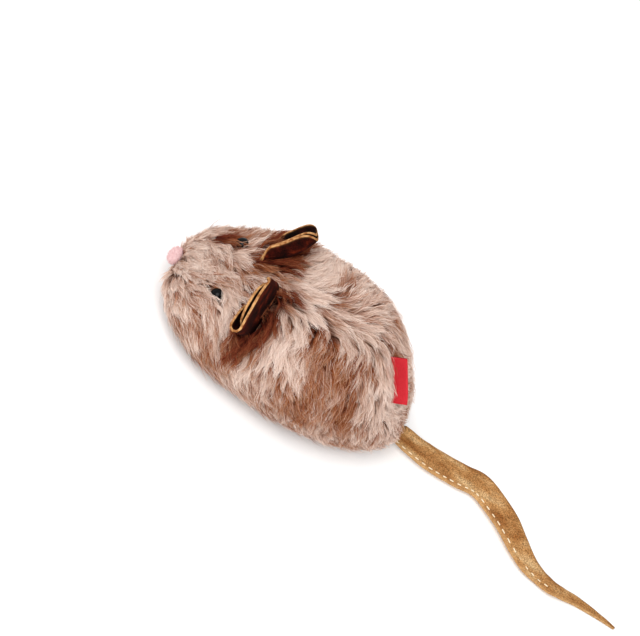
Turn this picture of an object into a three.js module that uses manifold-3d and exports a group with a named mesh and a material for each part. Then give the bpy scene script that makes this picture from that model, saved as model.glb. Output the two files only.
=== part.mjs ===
import * as THREE from 'three';
import { mergeVertices } from 'three/addons/utils/BufferGeometryUtils.js';
import Module from 'manifold-3d';

// Electronic mouse cat toy: a stuffed plush mouse that rests on its belly, with a
// motion-started sound module sewn into its filling. Millimetres, +X to the nose,
// +Y to the mouse's left, +Z up, origin on the flat of the belly.

const wasm = await Module();
wasm.setup();

// Clearances and cuts
const seatGap = 0.3;
const overrun = 2;
const weldTolerance = 0.0005;
const sliverTolerance = 0.005;

// Stuffed body
const bodyLength = 95.5;
const bodyWidth = 56.6;
const bodyHeight = 41;
const rumpHeight = 7.2;
const snoutHeight = 13;
const bellyFlat = 0.5;
const plushThickness = 3.5;
const widestShare = 0.5;
const highestShare = 0.38;
const lowestShare = 0.45;
const beltShare = 0.48;
const planRearPower = 1.75;
const planFrontPower = 2.4;
const topRearPower = 1.42;
const topFrontPower = 1.5;
const bottomPower = 2.5;
const upperSectionPower = 2.35;
const lowerSectionPower = 2.65;
const skinSteps = 22;
const skinSides = 36;
const liningSteps = 12;
const liningSides = 24;

// Belly panel, a leaf-shaped piece of plush between the two side panels
const bellyPanelWidth = 40;
const bellyPanelRearInset = 9;
const bellyPanelFrontInset = 13;
const bellyPanelReach = 10;
const bellyPanelPower = 2.2;
const bellyPanelSteps = 14;

// Ears, each of two layers of suede
const earLength = 16.5;
const earRoot = 3.2;
const earLayer = 0.75;
const earRimGap = 0.85;
const earWidestShare = 0.5;
const earCurlPower = 2.5;
const earSplayAngle = 0.62;
const earTurnAngle = 0.12;
const earForwardSwingAngle = 0.44;
const earEdgeSteps = 9;
const earAlongSteps = 8;
const earTurnWeight = 3;

// Left ear, its outer edge hooked forwards and its inner edge curled over the lining
const leftEarAlongShare = 0.715;
const leftEarAroundAngle = 1.196;
const leftEarLeanAngle = 0.5;
const leftEarBackwardSwingAngle = 0.44;
const leftEarTipPower = 2.6;
const leftEarTipCurl = 0.4;
const leftEarRootShare = 0.56;
const leftEarInnerFlat = 8.6;
const leftEarInnerRadius = 1.1;
const leftEarInnerAngle = 2.5;
const leftEarInnerBeyond = 0.2;
const leftEarOuterFlat = 7.6;
const leftEarOuterRadius = 1.8;
const leftEarOuterAngle = 3.1;
const leftEarOuterBeyond = 7;
const leftEarLiningShort = 1.2;
const leftEarLiningRadius = 3;
const leftEarLiningAngle = 0.2;

// Right ear, swept back and cupped like a boat, its lining following its back
const rightEarAlongShare = 0.766;
const rightEarAroundAngle = 1.3;
const rightEarLeanAngle = -0.7;
const rightEarBackwardSwingAngle = 0.3;
const rightEarTipPower = 3;
const rightEarTipCurl = 5;
const rightEarFlat = 1.5;
const rightEarRadius = 5.3;
const rightEarInnerAngle = 1.4;
const rightEarInnerBeyond = 1.7;
const rightEarInnerRootShare = 0.3;
const rightEarInnerFullShare = 0.28;
const rightEarOuterAngle = 1.2;
const rightEarOuterBeyond = 2;
const rightEarOuterRootShare = 0.1;

// Eyes, black beads on stems, each locked behind the plush by a washer
const eyeRadius = 2.3;
const eyeDome = 2.1;
const eyeSink = 0.7;
const eyeStemRadius = 0.9;
const eyeStemSpare = 1.2;
const eyeAlongShare = 0.857;
const eyeAroundAngle = 1.105;
const washerRadius = 3.6;
const washerThickness = 1.2;

// Nose, a small soft pad on the tip of the snout
const noseWidth = 6.4;
const noseTall = 5.2;
const noseDeep = 4.6;
const noseOut = 0.7;

// Tail, a strip folded along its length and stitched, lying in an S behind the body
const tailReach = 109;
const tailSway = 12;
const tailWidth = 8.6;
const tailThickness = 2.4;
const tailSwingAngle = 1.2;
const tailSteps = 44;
const tailRootSteps = 3;
const tailSides = 10;
const tailSectionPower = 3.2;
const tailDropShare = 0.3;
const tailFloorGap = 0.3;
const tailRunShares = [
  0, 0.08, 0.16, 0.262, 0.352, 0.416, 0.488, 0.549, 0.612, 0.664, 0.711, 0.768, 0.834, 0.889, 1,
];
const tailSwayShares = [0, 0, -0.05, -0.2, -0.33, -0.14, 0.17, 0.56, 0.87, 0.97, 1, 0.91, 0.8, 0.77, 0.76];
const tailWidthShares = [1, 1, 1, 1, 1, 1, 0.98, 0.88, 0.72, 0.6, 0.54, 0.47, 0.38, 0.3, 0.1];
const tailThickShares = [1, 1, 1, 1, 1, 1, 1, 1, 1, 0.95, 0.9, 0.8, 0.7, 0.6, 0.4];
const tailRollShares = [0, 0.1, 0.3, 0.42, 0.46, 0.48, 0.5, 0.48, 0.4, 0.2, 0.45, 0.8, 0.9, 0.95, 1];
const tailFullRoll = Math.PI / 2;

// Woven label, folded double and sewn on aslant over the centre seam near the rump
const labelLength = 14.6;
const labelReach = 6.8;
const labelThickness = 0.8;
const labelCorner = 0.6;
const labelAlongShare = 0.215;
const labelAroundAngle = 1.38;
const labelSlantAngle = -0.64;
const labelSwingAngle = 0.8;
const labelFootSteps = 6;

// Sound module case, lying flat in the middle of the filling
const moduleX = -6;
const moduleBottom = 8.8;
const caseLength = 38;
const caseWidth = 28;
const caseCorner = 6;
const caseWall = 1.3;
const caseLowerHeight = 12.6;
const caseLidHeight = 3.8;
const lipHeight = 1.2;
const lipWall = 0.8;
const bossRadius = 2.4;
const screwRadius = 0.9;
const screwLength = 8;
const screwHeadRadius = 1.7;
const screwHeadHeight = 1.1;
const soundHoleRadius = 0.9;
const soundHoleCircle = 5;
const soundHoleCount = 6;

// Pouch round the case
const pouchWall = 1;
const pouchRounding = 0.8;
const pouchMouthWidth = 20;
const pouchMouthHeight = 2.4;

// Button cells in their cradle
const cellRadius = 5.8;
const cellHeight = 5.4;
const cellCapRadius = 4.6;
const cellCapHeight = 0.6;
const cellCount = 3;
const cradleWall = 0.8;
const cradleHeight = 5.5;
const contactThickness = 0.4;
const contactWidth = 8;
const contactTall = 8.6;
const contactArmReach = 5.4;
const contactArmWidth = 1.4;
const contactLegWidth = 0.9;
const springWire = 0.5;
const springLength = 1.7;
const springWideRadius = 3.6;
const springNarrowRadius = 2;
const springTurns = 2;
const springStepsPerTurn = 8;
const springSides = 5;

// Circuit board and what is on it
const boardLength = 28.4;
const boardThickness = 1;
const boardPostHeight = 2;
const boardPostRadius = 1.2;
const boardPostShares = [0.2, 0.8];
const blobWidthShare = 0.27;
const blobShoulderShare = 0.85;
const blobHeight = 1.3;
const resistorRadius = 1;
const resistorWaistShare = 0.75;
const resistorLength = 4.4;
const capacitorRadius = 2;
const capacitorThickness = 1.2;
const partLegRadius = 0.3;
const blobShares = [0.69, 0.33];
const resistorShares = [0.8, 0.855];
const capacitorShares = [0.92, 0.45];

// Motion switch, a can with a ball that rolls when the toy is touched
const switchRadius = 2.5;
const switchWall = 0.3;
const switchLength = 9;
const switchBaseThickness = 1;
const switchFootWidth = 2.4;
const switchBallRadius = 1.8;

// Piezo sounder
const piezoRimRoom = 1.3;
const piezoThickness = 0.3;
const ceramicRadiusShare = 0.7;
const ceramicThickness = 0.25;
const wireRadius = 0.45;
const wireSpread = 1.6;
const wireFootShare = 0.656;
const wireSteps = 8;
const wireSides = 8;

const roundSides = 18;
const smallSides = 10;
const cornerSteps = 3;

const rumpX = -bodyLength / 2;
const snoutX = bodyLength / 2;

const xAxis = new THREE.Vector3(1, 0, 0);
const yAxis = new THREE.Vector3(0, 1, 0);
const zAxis = new THREE.Vector3(0, 0, 1);

// Solids

function closedSolid(geometry) {
  const bare = new THREE.BufferGeometry();
  bare.setAttribute('position', geometry.getAttribute('position').clone());
  if (geometry.getIndex()) bare.setIndex(geometry.getIndex().clone());
  const merged = mergeVertices(bare, weldTolerance);
  const corners = merged.getIndex().array;
  const triangles = [];
  for (let i = 0; i < corners.length; i += 3) {
    const [a, b, c] = [corners[i], corners[i + 1], corners[i + 2]];
    if (a !== b && b !== c && c !== a) triangles.push(a, b, c);
  }
  const mesh = new wasm.Mesh({
    numProp: 3,
    vertProperties: new Float32Array(merged.getAttribute('position').array),
    triVerts: new Uint32Array(triangles),
  });
  return new wasm.Manifold(mesh);
}

function geometryOf(solid) {
  const mesh = solid.getMesh();
  const geometry = new THREE.BufferGeometry();
  geometry.setAttribute('position', new THREE.BufferAttribute(new Float32Array(mesh.vertProperties), 3));
  geometry.setIndex(new THREE.BufferAttribute(new Uint32Array(mesh.triVerts), 1));
  geometry.computeVertexNormals();
  return geometry;
}

function namedMesh(name, solid, material) {
  const mesh = new THREE.Mesh(geometryOf(solid), material);
  mesh.name = name;
  return mesh;
}

function blockBetween(low, high) {
  const size = high.clone().sub(low);
  const centre = low.clone().add(high).multiplyScalar(1 / 2);
  const geometry = new THREE.BoxGeometry(size.x, size.y, size.z);
  geometry.translate(centre.x, centre.y, centre.z);
  return closedSolid(geometry);
}

function block(xLow, xHigh, yLow, yHigh, zLow, zHigh) {
  return blockBetween(new THREE.Vector3(xLow, yLow, zLow), new THREE.Vector3(xHigh, yHigh, zHigh));
}

function rodSolid(start, direction, radius, length, sides) {
  const geometry = new THREE.CylinderGeometry(radius, radius, length, sides);
  geometry.translate(0, length / 2, 0);
  return closedSolid(placedAlong(geometry, start, direction));
}

function placedAlong(geometry, start, direction) {
  geometry.applyQuaternion(new THREE.Quaternion().setFromUnitVectors(yAxis, direction));
  geometry.translate(start.x, start.y, start.z);
  return geometry;
}

// A profile of [radius, height] points turned round +Y, then set along a direction
function turnedSolid(profile, start, direction, sides) {
  const points = profile.map(([radius, height]) => new THREE.Vector2(radius, height));
  return closedSolid(placedAlong(new THREE.LatheGeometry(points, sides), start, direction));
}

// Rings of points in order, skinned and capped at both ends
function ringSolid(rings) {
  const positions = [];
  const indices = [];
  const count = rings[0].length;
  for (const ring of rings) {
    for (const point of ring) positions.push(point.x, point.y, point.z);
  }
  for (let i = 0; i + 1 < rings.length; i += 1) {
    for (let j = 0; j < count; j += 1) {
      const next = (j + 1) % count;
      const [a, b] = [i * count + j, i * count + next];
      const [c, d] = [a + count, b + count];
      indices.push(a, b, c, b, d, c);
    }
  }
  const capRing = (ring, first, flipped) => {
    const centre = new THREE.Vector3();
    for (const point of ring) centre.addScaledVector(point, 1 / count);
    const hub = positions.length / 3;
    positions.push(centre.x, centre.y, centre.z);
    for (let j = 0; j < count; j += 1) {
      const next = (j + 1) % count;
      if (flipped) indices.push(hub, first + j, first + next);
      else indices.push(hub, first + next, first + j);
    }
  };
  capRing(rings[0], 0, false);
  capRing(rings[rings.length - 1], (rings.length - 1) * count, true);
  const geometry = new THREE.BufferGeometry();
  geometry.setAttribute('position', new THREE.Float32BufferAttribute(positions, 3));
  geometry.setIndex(indices);
  return closedSolid(geometry);
}

function turnedAbout(geometry, point, axis, angle) {
  geometry.translate(-point.x, -point.y, -point.z);
  geometry.applyQuaternion(new THREE.Quaternion().setFromAxisAngle(axis, angle));
  geometry.translate(point.x, point.y, point.z);
  return geometry;
}

// Stuffed body surface

// How full the body is at a share of its length: 0 at each tip, 1 at its fullest
function fullness(share, peakShare, rearPower, frontPower) {
  const atRear = share < peakShare;
  const awayShare = atRear ? (peakShare - share) / peakShare : (share - peakShare) / (1 - peakShare);
  const power = atRear ? rearPower : frontPower;
  return Math.max(1 - awayShare ** power, 0) ** (1 / power);
}

function signedPower(value, power) {
  return Math.sign(value) * Math.abs(value) ** power;
}

function bodyPoint(lengthShare, angle, inset) {
  const x = rumpX + inset + lengthShare * (bodyLength - 2 * inset);
  const widthFull = fullness(lengthShare, widestShare, planRearPower, planFrontPower);
  const halfWidth = (bodyWidth / 2 - inset) * widthFull;
  const tipHeight = THREE.MathUtils.lerp(rumpHeight, snoutHeight, lengthShare);
  const topFull = fullness(lengthShare, highestShare, topRearPower, topFrontPower);
  const bottomFull = fullness(lengthShare, lowestShare, bottomPower, bottomPower);
  const top = tipHeight + (bodyHeight - inset - tipHeight) * topFull;
  const bottom = tipHeight - (tipHeight + bellyFlat - inset) * bottomFull;
  const belt = THREE.MathUtils.lerp(bottom, top, beltShare);
  const upper = Math.sin(angle) >= 0;
  const power = 2 / (upper ? upperSectionPower : lowerSectionPower);
  const rise = upper ? top - belt : belt - bottom;
  const y = halfWidth * signedPower(Math.cos(angle), power);
  const z = belt + rise * signedPower(Math.sin(angle), power);
  return new THREE.Vector3(x, y, z);
}

function bodyNormal(lengthShare, angle) {
  const nudge = 0.002;
  const ahead = bodyPoint(lengthShare + nudge, angle, 0).sub(bodyPoint(lengthShare - nudge, angle, 0));
  const round = bodyPoint(lengthShare, angle + nudge, 0).sub(bodyPoint(lengthShare, angle - nudge, 0));
  return round.cross(ahead).normalize();
}

function bodySolid(inset, steps, sides) {
  const rings = [];
  for (let i = 0; i <= steps; i += 1) {
    const lengthShare = (1 - Math.cos((Math.PI * i) / steps)) / 2;
    const ring = [];
    for (let j = 0; j < sides; j += 1) ring.push(bodyPoint(lengthShare, (2 * Math.PI * j) / sides, inset));
    rings.push(ring);
  }
  return ringSolid(rings);
}

function belowFloor() {
  return block(
    rumpX - overrun, snoutX + overrun,
    -bodyWidth / 2 - overrun, bodyWidth / 2 + overrun,
    -bellyFlat - overrun, 0,
  );
}

const outerBody = bodySolid(0, skinSteps, skinSides).subtract(belowFloor());
const clearBody = bodySolid(-seatGap, skinSteps, skinSides);

// What is left of a piece on the body's surface when its hinge swings it both ways
function clearOfBody(piece, point, axis, backAngle, foreAngle) {
  let cleared = piece;
  for (const angle of [0, -backAngle, -backAngle / 2, foreAngle / 2, foreAngle]) {
    const swung = turnedAbout(geometryOf(clearBody), point, axis, angle);
    cleared = cleared.subtract(closedSolid(swung));
  }
  return cleared.simplify(sliverTolerance);
}

// Plush panels

function bellyOutline(grow) {
  const rear = rumpX + bellyPanelRearInset - grow;
  const front = snoutX - bellyPanelFrontInset + grow;
  const halfWidth = bellyPanelWidth / 2 + grow;
  const edge = [];
  for (let i = 0; i <= bellyPanelSteps; i += 1) {
    const acrossShare = -Math.cos((Math.PI * i) / bellyPanelSteps);
    const x = THREE.MathUtils.lerp(rear, front, (1 + acrossShare) / 2);
    edge.push(new THREE.Vector2(x, halfWidth * (1 - Math.abs(acrossShare) ** bellyPanelPower)));
  }
  const back = edge.slice(1, -1).reverse().map((point) => new THREE.Vector2(point.x, -point.y));
  return new THREE.Shape([...edge, ...back]);
}

function bellyCutter(grow) {
  const depth = bellyPanelReach + overrun;
  const geometry = new THREE.ExtrudeGeometry(bellyOutline(grow), { depth, bevelEnabled: false });
  geometry.translate(0, 0, -overrun);
  return closedSolid(geometry);
}

const plushShell = outerBody.subtract(bodySolid(plushThickness, liningSteps, liningSides));

function bellyPanel() {
  return plushShell.intersect(bellyCutter(0));
}

function sidePanel(side) {
  const inner = (side * seatGap) / 2;
  const outer = side * (bodyWidth / 2 + overrun);
  const half = block(
    rumpX - overrun, snoutX + overrun,
    Math.min(inner, outer), Math.max(inner, outer),
    -overrun, bodyHeight + overrun,
  );
  return plushShell.subtract(bellyCutter(seatGap)).intersect(half).subtract(eyePocket(side));
}

// Eyes

function eyePlace(side) {
  const angle = side > 0 ? eyeAroundAngle : Math.PI - eyeAroundAngle;
  const point = bodyPoint(eyeAlongShare, angle, 0);
  const normal = bodyNormal(eyeAlongShare, angle);
  return { point, normal, inward: normal.clone().negate() };
}

const eyeStemLength = plushThickness + seatGap + washerThickness + eyeStemSpare;

function eyePocket(side) {
  const { point, normal, inward } = eyePlace(side);
  const seat = point.clone().addScaledVector(inward, eyeSink + seatGap);
  const pocket = rodSolid(seat, normal, eyeRadius + seatGap, eyeSink + overrun, roundSides);
  const hole = rodSolid(seat, inward, eyeStemRadius + seatGap, eyeStemLength, smallSides);
  return pocket.add(hole);
}

function eyeBead(side) {
  const { point, normal, inward } = eyePlace(side);
  const seat = point.clone().addScaledVector(inward, eyeSink);
  const domeSteps = 5;
  const profile = [[0, -eyeStemLength], [eyeStemRadius, -eyeStemLength], [eyeStemRadius, 0]];
  for (let i = 0; i < domeSteps; i += 1) {
    const angle = (Math.PI / 2) * (i / domeSteps);
    profile.push([eyeRadius * Math.cos(angle), eyeDome * Math.sin(angle)]);
  }
  profile.push([0, eyeDome]);
  return turnedSolid(profile, seat, normal, roundSides);
}

function eyeWasher(side) {
  const { point, normal, inward } = eyePlace(side);
  const seat = point.clone().addScaledVector(inward, plushThickness + seatGap + washerThickness);
  const bore = eyeStemRadius + seatGap;
  const profile = [
    [bore, 0], [washerRadius, 0], [washerRadius, washerThickness], [bore, washerThickness], [bore, 0],
  ];
  return turnedSolid(profile, seat, normal, roundSides);
}

function washerRoom(side) {
  const { point, inward } = eyePlace(side);
  const start = point.clone().addScaledVector(inward, plushThickness - overrun);
  const depth = overrun + 2 * seatGap + washerThickness;
  const room = rodSolid(start, inward, washerRadius + seatGap, depth, roundSides);
  const stemDepth = eyeSink + eyeStemLength + seatGap;
  const stemRoom = rodSolid(point, inward, eyeStemRadius + seatGap, stemDepth, smallSides);
  return room.add(stemRoom);
}

// Nose

function nosePad() {
  const geometry = new THREE.SphereGeometry(1 / 2, smallSides, smallSides);
  geometry.scale(noseDeep, noseWidth, noseTall);
  geometry.translate(snoutX + noseOut, 0, snoutHeight);
  return closedSolid(geometry).subtract(clearBody);
}

// Ears

const leftEar = {
  side: 1,
  alongShare: leftEarAlongShare,
  aroundAngle: leftEarAroundAngle,
  leanAngle: leftEarLeanAngle,
  tipPower: leftEarTipPower,
  tipCurl: leftEarTipCurl,
  backwardSwing: leftEarBackwardSwingAngle,
  forwardSwing: earForwardSwingAngle,
};
const rightEar = {
  side: -1,
  alongShare: rightEarAlongShare,
  aroundAngle: rightEarAroundAngle,
  leanAngle: rightEarLeanAngle,
  tipPower: rightEarTipPower,
  tipCurl: rightEarTipCurl,
  backwardSwing: rightEarBackwardSwingAngle,
  forwardSwing: earForwardSwingAngle,
};

// Each edge of a layer runs flat from the layer's middle, turns and runs on beyond the
// turn. It keeps a share of its width at the root and is full from another share on.
// The inner edge is the one nearer the centre seam.
function leftEarEdge(flat, radius, angle, beyond) {
  return { flat, radius, angle, beyond, rootShare: leftEarRootShare, fullShare: earWidestShare };
}

function leftLiningEdge(backFlat) {
  return leftEarEdge(backFlat - leftEarLiningShort, leftEarLiningRadius, leftEarLiningAngle, 0);
}

function rightEarEdges(radius) {
  return {
    inner: {
      flat: rightEarFlat,
      radius,
      angle: rightEarInnerAngle,
      beyond: rightEarInnerBeyond,
      rootShare: rightEarInnerRootShare,
      fullShare: rightEarInnerFullShare,
    },
    outer: {
      flat: rightEarFlat,
      radius,
      angle: rightEarOuterAngle,
      beyond: rightEarOuterBeyond,
      rootShare: rightEarOuterRootShare,
      fullShare: earWidestShare,
    },
  };
}

function earFrame(ear) {
  const { side, leanAngle } = ear;
  const angle = side > 0 ? ear.aroundAngle : Math.PI - ear.aroundAngle;
  const root = bodyPoint(ear.alongShare, angle, 0);
  const across = new THREE.Vector3(
    -Math.sin(earTurnAngle),
    side * Math.cos(earSplayAngle) * Math.cos(earTurnAngle),
    -Math.sin(earSplayAngle) * Math.cos(earTurnAngle),
  ).normalize();
  const upright = new THREE.Vector3(0, side * Math.sin(earSplayAngle), Math.cos(earSplayAngle));
  const facing = side > 0
    ? across.clone().cross(upright).normalize()
    : upright.clone().cross(across).normalize();
  const tipward = side > 0 ? facing.clone().cross(across) : across.clone().cross(facing);
  const lean = new THREE.Quaternion().setFromAxisAngle(across, side * leanAngle);
  return {
    root,
    across,
    facing: facing.applyQuaternion(lean),
    tipward: tipward.applyQuaternion(lean),
  };
}

// How far an edge reaches from the layer's middle at a share of the ear's length
function edgeReach(edge, lengthShare, tipPower) {
  const widest = edge.flat + edge.radius * edge.angle + edge.beyond;
  if (lengthShare > earWidestShare) {
    const pastShare = (lengthShare - earWidestShare) / (1 - earWidestShare);
    return widest * Math.max(1 - pastShare ** tipPower, 0) ** (1 / tipPower);
  }
  const riseShare = Math.sin((Math.PI / 2) * Math.min(lengthShare / edge.fullShare, 1));
  return widest * THREE.MathUtils.lerp(edge.rootShare, 1, riseShare);
}

// Runs from the layer's middle to an edge, closer together in the edge's turn
function edgeRuns(edge, reach) {
  const turnStart = Math.min(edge.flat, reach);
  const turnEnd = Math.min(edge.flat + edge.radius * edge.angle, reach);
  const stretch = 1 + earTurnWeight / edge.radius;
  const turnMeasure = (turnEnd - turnStart) * stretch;
  const total = turnStart + turnMeasure + reach - turnEnd;
  const runs = [];
  for (let i = 1; i <= earEdgeSteps; i += 1) {
    const measure = (total * i) / earEdgeSteps;
    if (measure <= turnStart) runs.push(measure);
    else if (measure < turnStart + turnMeasure) runs.push(turnStart + (measure - turnStart) / stretch);
    else runs.push(reach - total + measure);
  }
  return runs;
}

// The [across, facing] place at a run towards an edge, off the layer's middle by an offset
function edgePlace(edge, way, run, offset) {
  const bend = THREE.MathUtils.clamp((run - edge.flat) / edge.radius, 0, edge.angle);
  const beyond = Math.max(run - edge.flat - edge.radius * edge.angle, 0);
  const along = Math.min(run, edge.flat) + edge.radius * Math.sin(bend) + beyond * Math.cos(bend);
  const forward = edge.radius * (1 - Math.cos(bend)) + beyond * Math.sin(bend);
  return [way * (along - offset * Math.sin(bend)), forward + offset * Math.cos(bend)];
}

// A row of places on one face of a layer at a share of the ear's length, inner edge first
function earRow(ear, edges, lengthShare, offset) {
  const innerRuns = edgeRuns(edges.inner, edgeReach(edges.inner, lengthShare, ear.tipPower));
  const outerRuns = edgeRuns(edges.outer, edgeReach(edges.outer, lengthShare, ear.tipPower));
  return [
    ...innerRuns.map((run) => edgePlace(edges.inner, -1, run, offset)).reverse(),
    edgePlace(edges.outer, 1, 0, offset),
    ...outerRuns.map((run) => edgePlace(edges.outer, 1, run, offset)),
  ];
}

// A layer of an ear, behind the ear's middle or before it by way, with room at the rim
function earLayerSolid(ear, way, edges) {
  const frame = earFrame(ear);
  const rings = [];
  for (let i = 0; i <= earAlongSteps; i += 1) {
    const lengthShare = Math.sin((Math.PI / 2) * (i / earAlongSteps));
    const upper = earRow(ear, edges, lengthShare, earLayer / 2);
    const lower = earRow(ear, edges, lengthShare, -earLayer / 2);
    const rise = THREE.MathUtils.lerp(-earRoot, earLength, lengthShare);
    const curl = ear.tipCurl * lengthShare ** earCurlPower;
    const middle = (way * (THREE.MathUtils.lerp(seatGap, earRimGap, lengthShare) + earLayer)) / 2;
    const ring = [...lower, ...upper.reverse()].map(([along, forward]) => frame.root.clone()
      .addScaledVector(frame.across, along)
      .addScaledVector(frame.facing, forward + curl + middle)
      .addScaledVector(frame.tipward, rise));
    rings.push(ear.side > 0 ? ring.reverse() : ring);
  }
  const [low, high] = earRange(ear);
  return clearOfBody(ringSolid(rings), frame.root, frame.across, high, -low);
}

// The angles an ear swings between about its own axis
function earRange(ear) {
  return ear.side > 0 ? [-ear.backwardSwing, ear.forwardSwing] : [-ear.forwardSwing, ear.backwardSwing];
}

function leftEarBack() {
  return earLayerSolid(leftEar, -1, {
    inner: leftEarEdge(leftEarInnerFlat, leftEarInnerRadius, leftEarInnerAngle, leftEarInnerBeyond),
    outer: leftEarEdge(leftEarOuterFlat, leftEarOuterRadius, leftEarOuterAngle, leftEarOuterBeyond),
  });
}

function leftEarLining() {
  return earLayerSolid(leftEar, 1, {
    inner: leftLiningEdge(leftEarInnerFlat),
    outer: leftLiningEdge(leftEarOuterFlat),
  });
}

function rightEarBack() {
  return earLayerSolid(rightEar, -1, rightEarEdges(rightEarRadius));
}

function rightEarLining() {
  return earLayerSolid(rightEar, 1, rightEarEdges(rightEarRadius - earRimGap - earLayer));
}

// Tail

function shareAt(shares, runShare) {
  const last = tailRunShares.length - 1;
  let i = 1;
  while (i < last && tailRunShares[i] < runShare) i += 1;
  const span = tailRunShares[i] - tailRunShares[i - 1];
  return THREE.MathUtils.lerp(shares[i - 1], shares[i], (runShare - tailRunShares[i - 1]) / span);
}

const tailHinge = new THREE.Vector3(rumpX - seatGap - tailThickness / 2, 0, rumpHeight);

function tailSection(runShare) {
  const roll = tailFullRoll * shareAt(tailRollShares, runShare);
  const halfWidth = (tailWidth / 2) * shareAt(tailWidthShares, runShare);
  const halfThick = (tailThickness / 2) * shareAt(tailThickShares, runShare);
  const lying = tailFloorGap + halfWidth * Math.cos(roll) + halfThick * Math.sin(roll);
  return { roll, halfWidth, halfThick, lying };
}

function tailCurve() {
  const sewnLift = rumpHeight - tailSection(0).lying;
  const points = tailRunShares.map((runShare, i) => {
    const dropShare = Math.max(1 - runShare / tailDropShare, 0) ** 2;
    const height = tailSection(runShare).lying + sewnLift * dropShare;
    return new THREE.Vector3(tailHinge.x - tailReach * runShare, tailSway * tailSwayShares[i], height);
  });
  return new THREE.CatmullRomCurve3(points, false, 'centripetal');
}

function tailRing(centre, tangent, roll, halfThick, halfWidth) {
  const sideways = zAxis.clone().cross(tangent).normalize();
  const upward = tangent.clone().cross(sideways).normalize();
  const turn = new THREE.Quaternion().setFromAxisAngle(tangent, -roll);
  sideways.applyQuaternion(turn);
  upward.applyQuaternion(turn);
  const ring = [];
  for (let j = 0; j < tailSides; j += 1) {
    const angle = (2 * Math.PI * (j + 1 / 2)) / tailSides;
    ring.push(centre.clone()
      .addScaledVector(sideways, halfThick * signedPower(Math.cos(angle), 2 / tailSectionPower))
      .addScaledVector(upward, halfWidth * signedPower(Math.sin(angle), 2 / tailSectionPower)));
  }
  return ring;
}

// The root is round about the hinge, so the tail can swing against the rump
function tailStrip() {
  const curve = tailCurve();
  const rings = [];
  const root = tailSection(0);
  const start = curve.getTangentAt(0);
  for (let i = 1; i <= tailRootSteps; i += 1) {
    const angle = (Math.PI / 2) * (i / (tailRootSteps + 1));
    const centre = tailHinge.clone().addScaledVector(xAxis, root.halfThick * Math.cos(angle));
    rings.push(tailRing(centre, start, root.roll, root.halfThick * Math.sin(angle), root.halfWidth));
  }
  for (let i = 0; i <= tailSteps; i += 1) {
    const centre = curve.getPointAt(i / tailSteps);
    const section = tailSection((tailHinge.x - centre.x) / tailReach);
    const tangent = curve.getTangentAt(i / tailSteps);
    rings.push(tailRing(centre, tangent, section.roll, section.halfThick, section.halfWidth));
  }
  return ringSolid(rings);
}

// Label

function labelFrame() {
  const root = bodyPoint(labelAlongShare, labelAroundAngle, 0);
  const outward = bodyNormal(labelAlongShare, labelAroundAngle);
  const along = outward.clone().cross(yAxis).normalize().applyAxisAngle(outward, labelSlantAngle);
  return { root, outward, along };
}

// Places on the back down the label's foot
function labelFoot() {
  const { root, along } = labelFrame();
  const nudge = 0.001;
  const byShare = bodyPoint(labelAlongShare + nudge, labelAroundAngle, 0).sub(root).multiplyScalar(1 / nudge);
  const byAngle = bodyPoint(labelAlongShare, labelAroundAngle + nudge, 0).sub(root).multiplyScalar(1 / nudge);
  const crossed = byShare.dot(byAngle);
  const determinant = byShare.lengthSq() * byAngle.lengthSq() - crossed ** 2;
  const shareSpan = (along.dot(byShare) * byAngle.lengthSq() - along.dot(byAngle) * crossed) / determinant;
  const angleSpan = (along.dot(byAngle) * byShare.lengthSq() - along.dot(byShare) * crossed) / determinant;
  const places = [];
  for (let i = 0; i <= labelFootSteps; i += 1) {
    const run = labelLength * (i / labelFootSteps - 1 / 2);
    places.push(bodyPoint(labelAlongShare + shareSpan * run, labelAroundAngle + angleSpan * run, 0));
  }
  return places;
}

// The label's outline in its own plane: a foot that follows the back, and a straight fold
function foldedLabel() {
  const { root, outward, along } = labelFrame();
  const outline = labelFoot().map((place) => {
    const foot = place.sub(root);
    return new THREE.Vector2(foot.dot(along), foot.dot(outward) + seatGap + labelThickness / 4);
  });
  const first = outline[0].x;
  const last = outline[outline.length - 1].x;
  const shift = Math.sign(last - first) * labelCorner;
  outline.push(new THREE.Vector2(last, labelReach - labelCorner));
  outline.push(new THREE.Vector2(last - shift, labelReach));
  outline.push(new THREE.Vector2(first + shift, labelReach));
  outline.push(new THREE.Vector2(first, labelReach - labelCorner));
  const options = { depth: labelThickness, bevelEnabled: false };
  const geometry = new THREE.ExtrudeGeometry(new THREE.Shape(outline), options);
  geometry.translate(0, 0, -labelThickness / 2);
  const across = along.clone().cross(outward);
  geometry.applyMatrix4(new THREE.Matrix4().makeBasis(along, outward, across));
  geometry.translate(root.x, root.y, root.z);
  return closedSolid(geometry);
}

// Sound module, in its own frame with the case's underside at zero height

const caseHeight = caseLowerHeight + seatGap + caseLidHeight;
const lidBottom = caseLowerHeight + seatGap;
const lidRoof = caseHeight - caseWall;
const floorTop = caseWall;
const bossShift = (caseCorner - caseWall - lipWall - 2 * seatGap - bossRadius) / Math.SQRT2;
const bossX = caseLength / 2 - caseCorner + bossShift;
const bossY = caseWidth / 2 - caseCorner + bossShift;
const bossPlaces = [[-bossX, -bossY], [bossX, bossY]];

function roundedOutline(inset) {
  const halfLength = caseLength / 2 - inset;
  const halfWidth = caseWidth / 2 - inset;
  const corner = caseCorner - inset;
  const shape = new THREE.Shape();
  shape.absarc(halfLength - corner, halfWidth - corner, corner, 0, Math.PI / 2);
  shape.absarc(-halfLength + corner, halfWidth - corner, corner, Math.PI / 2, Math.PI);
  shape.absarc(-halfLength + corner, -halfWidth + corner, corner, Math.PI, 1.5 * Math.PI);
  shape.absarc(halfLength - corner, -halfWidth + corner, corner, 1.5 * Math.PI, 2 * Math.PI);
  return shape;
}

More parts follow.
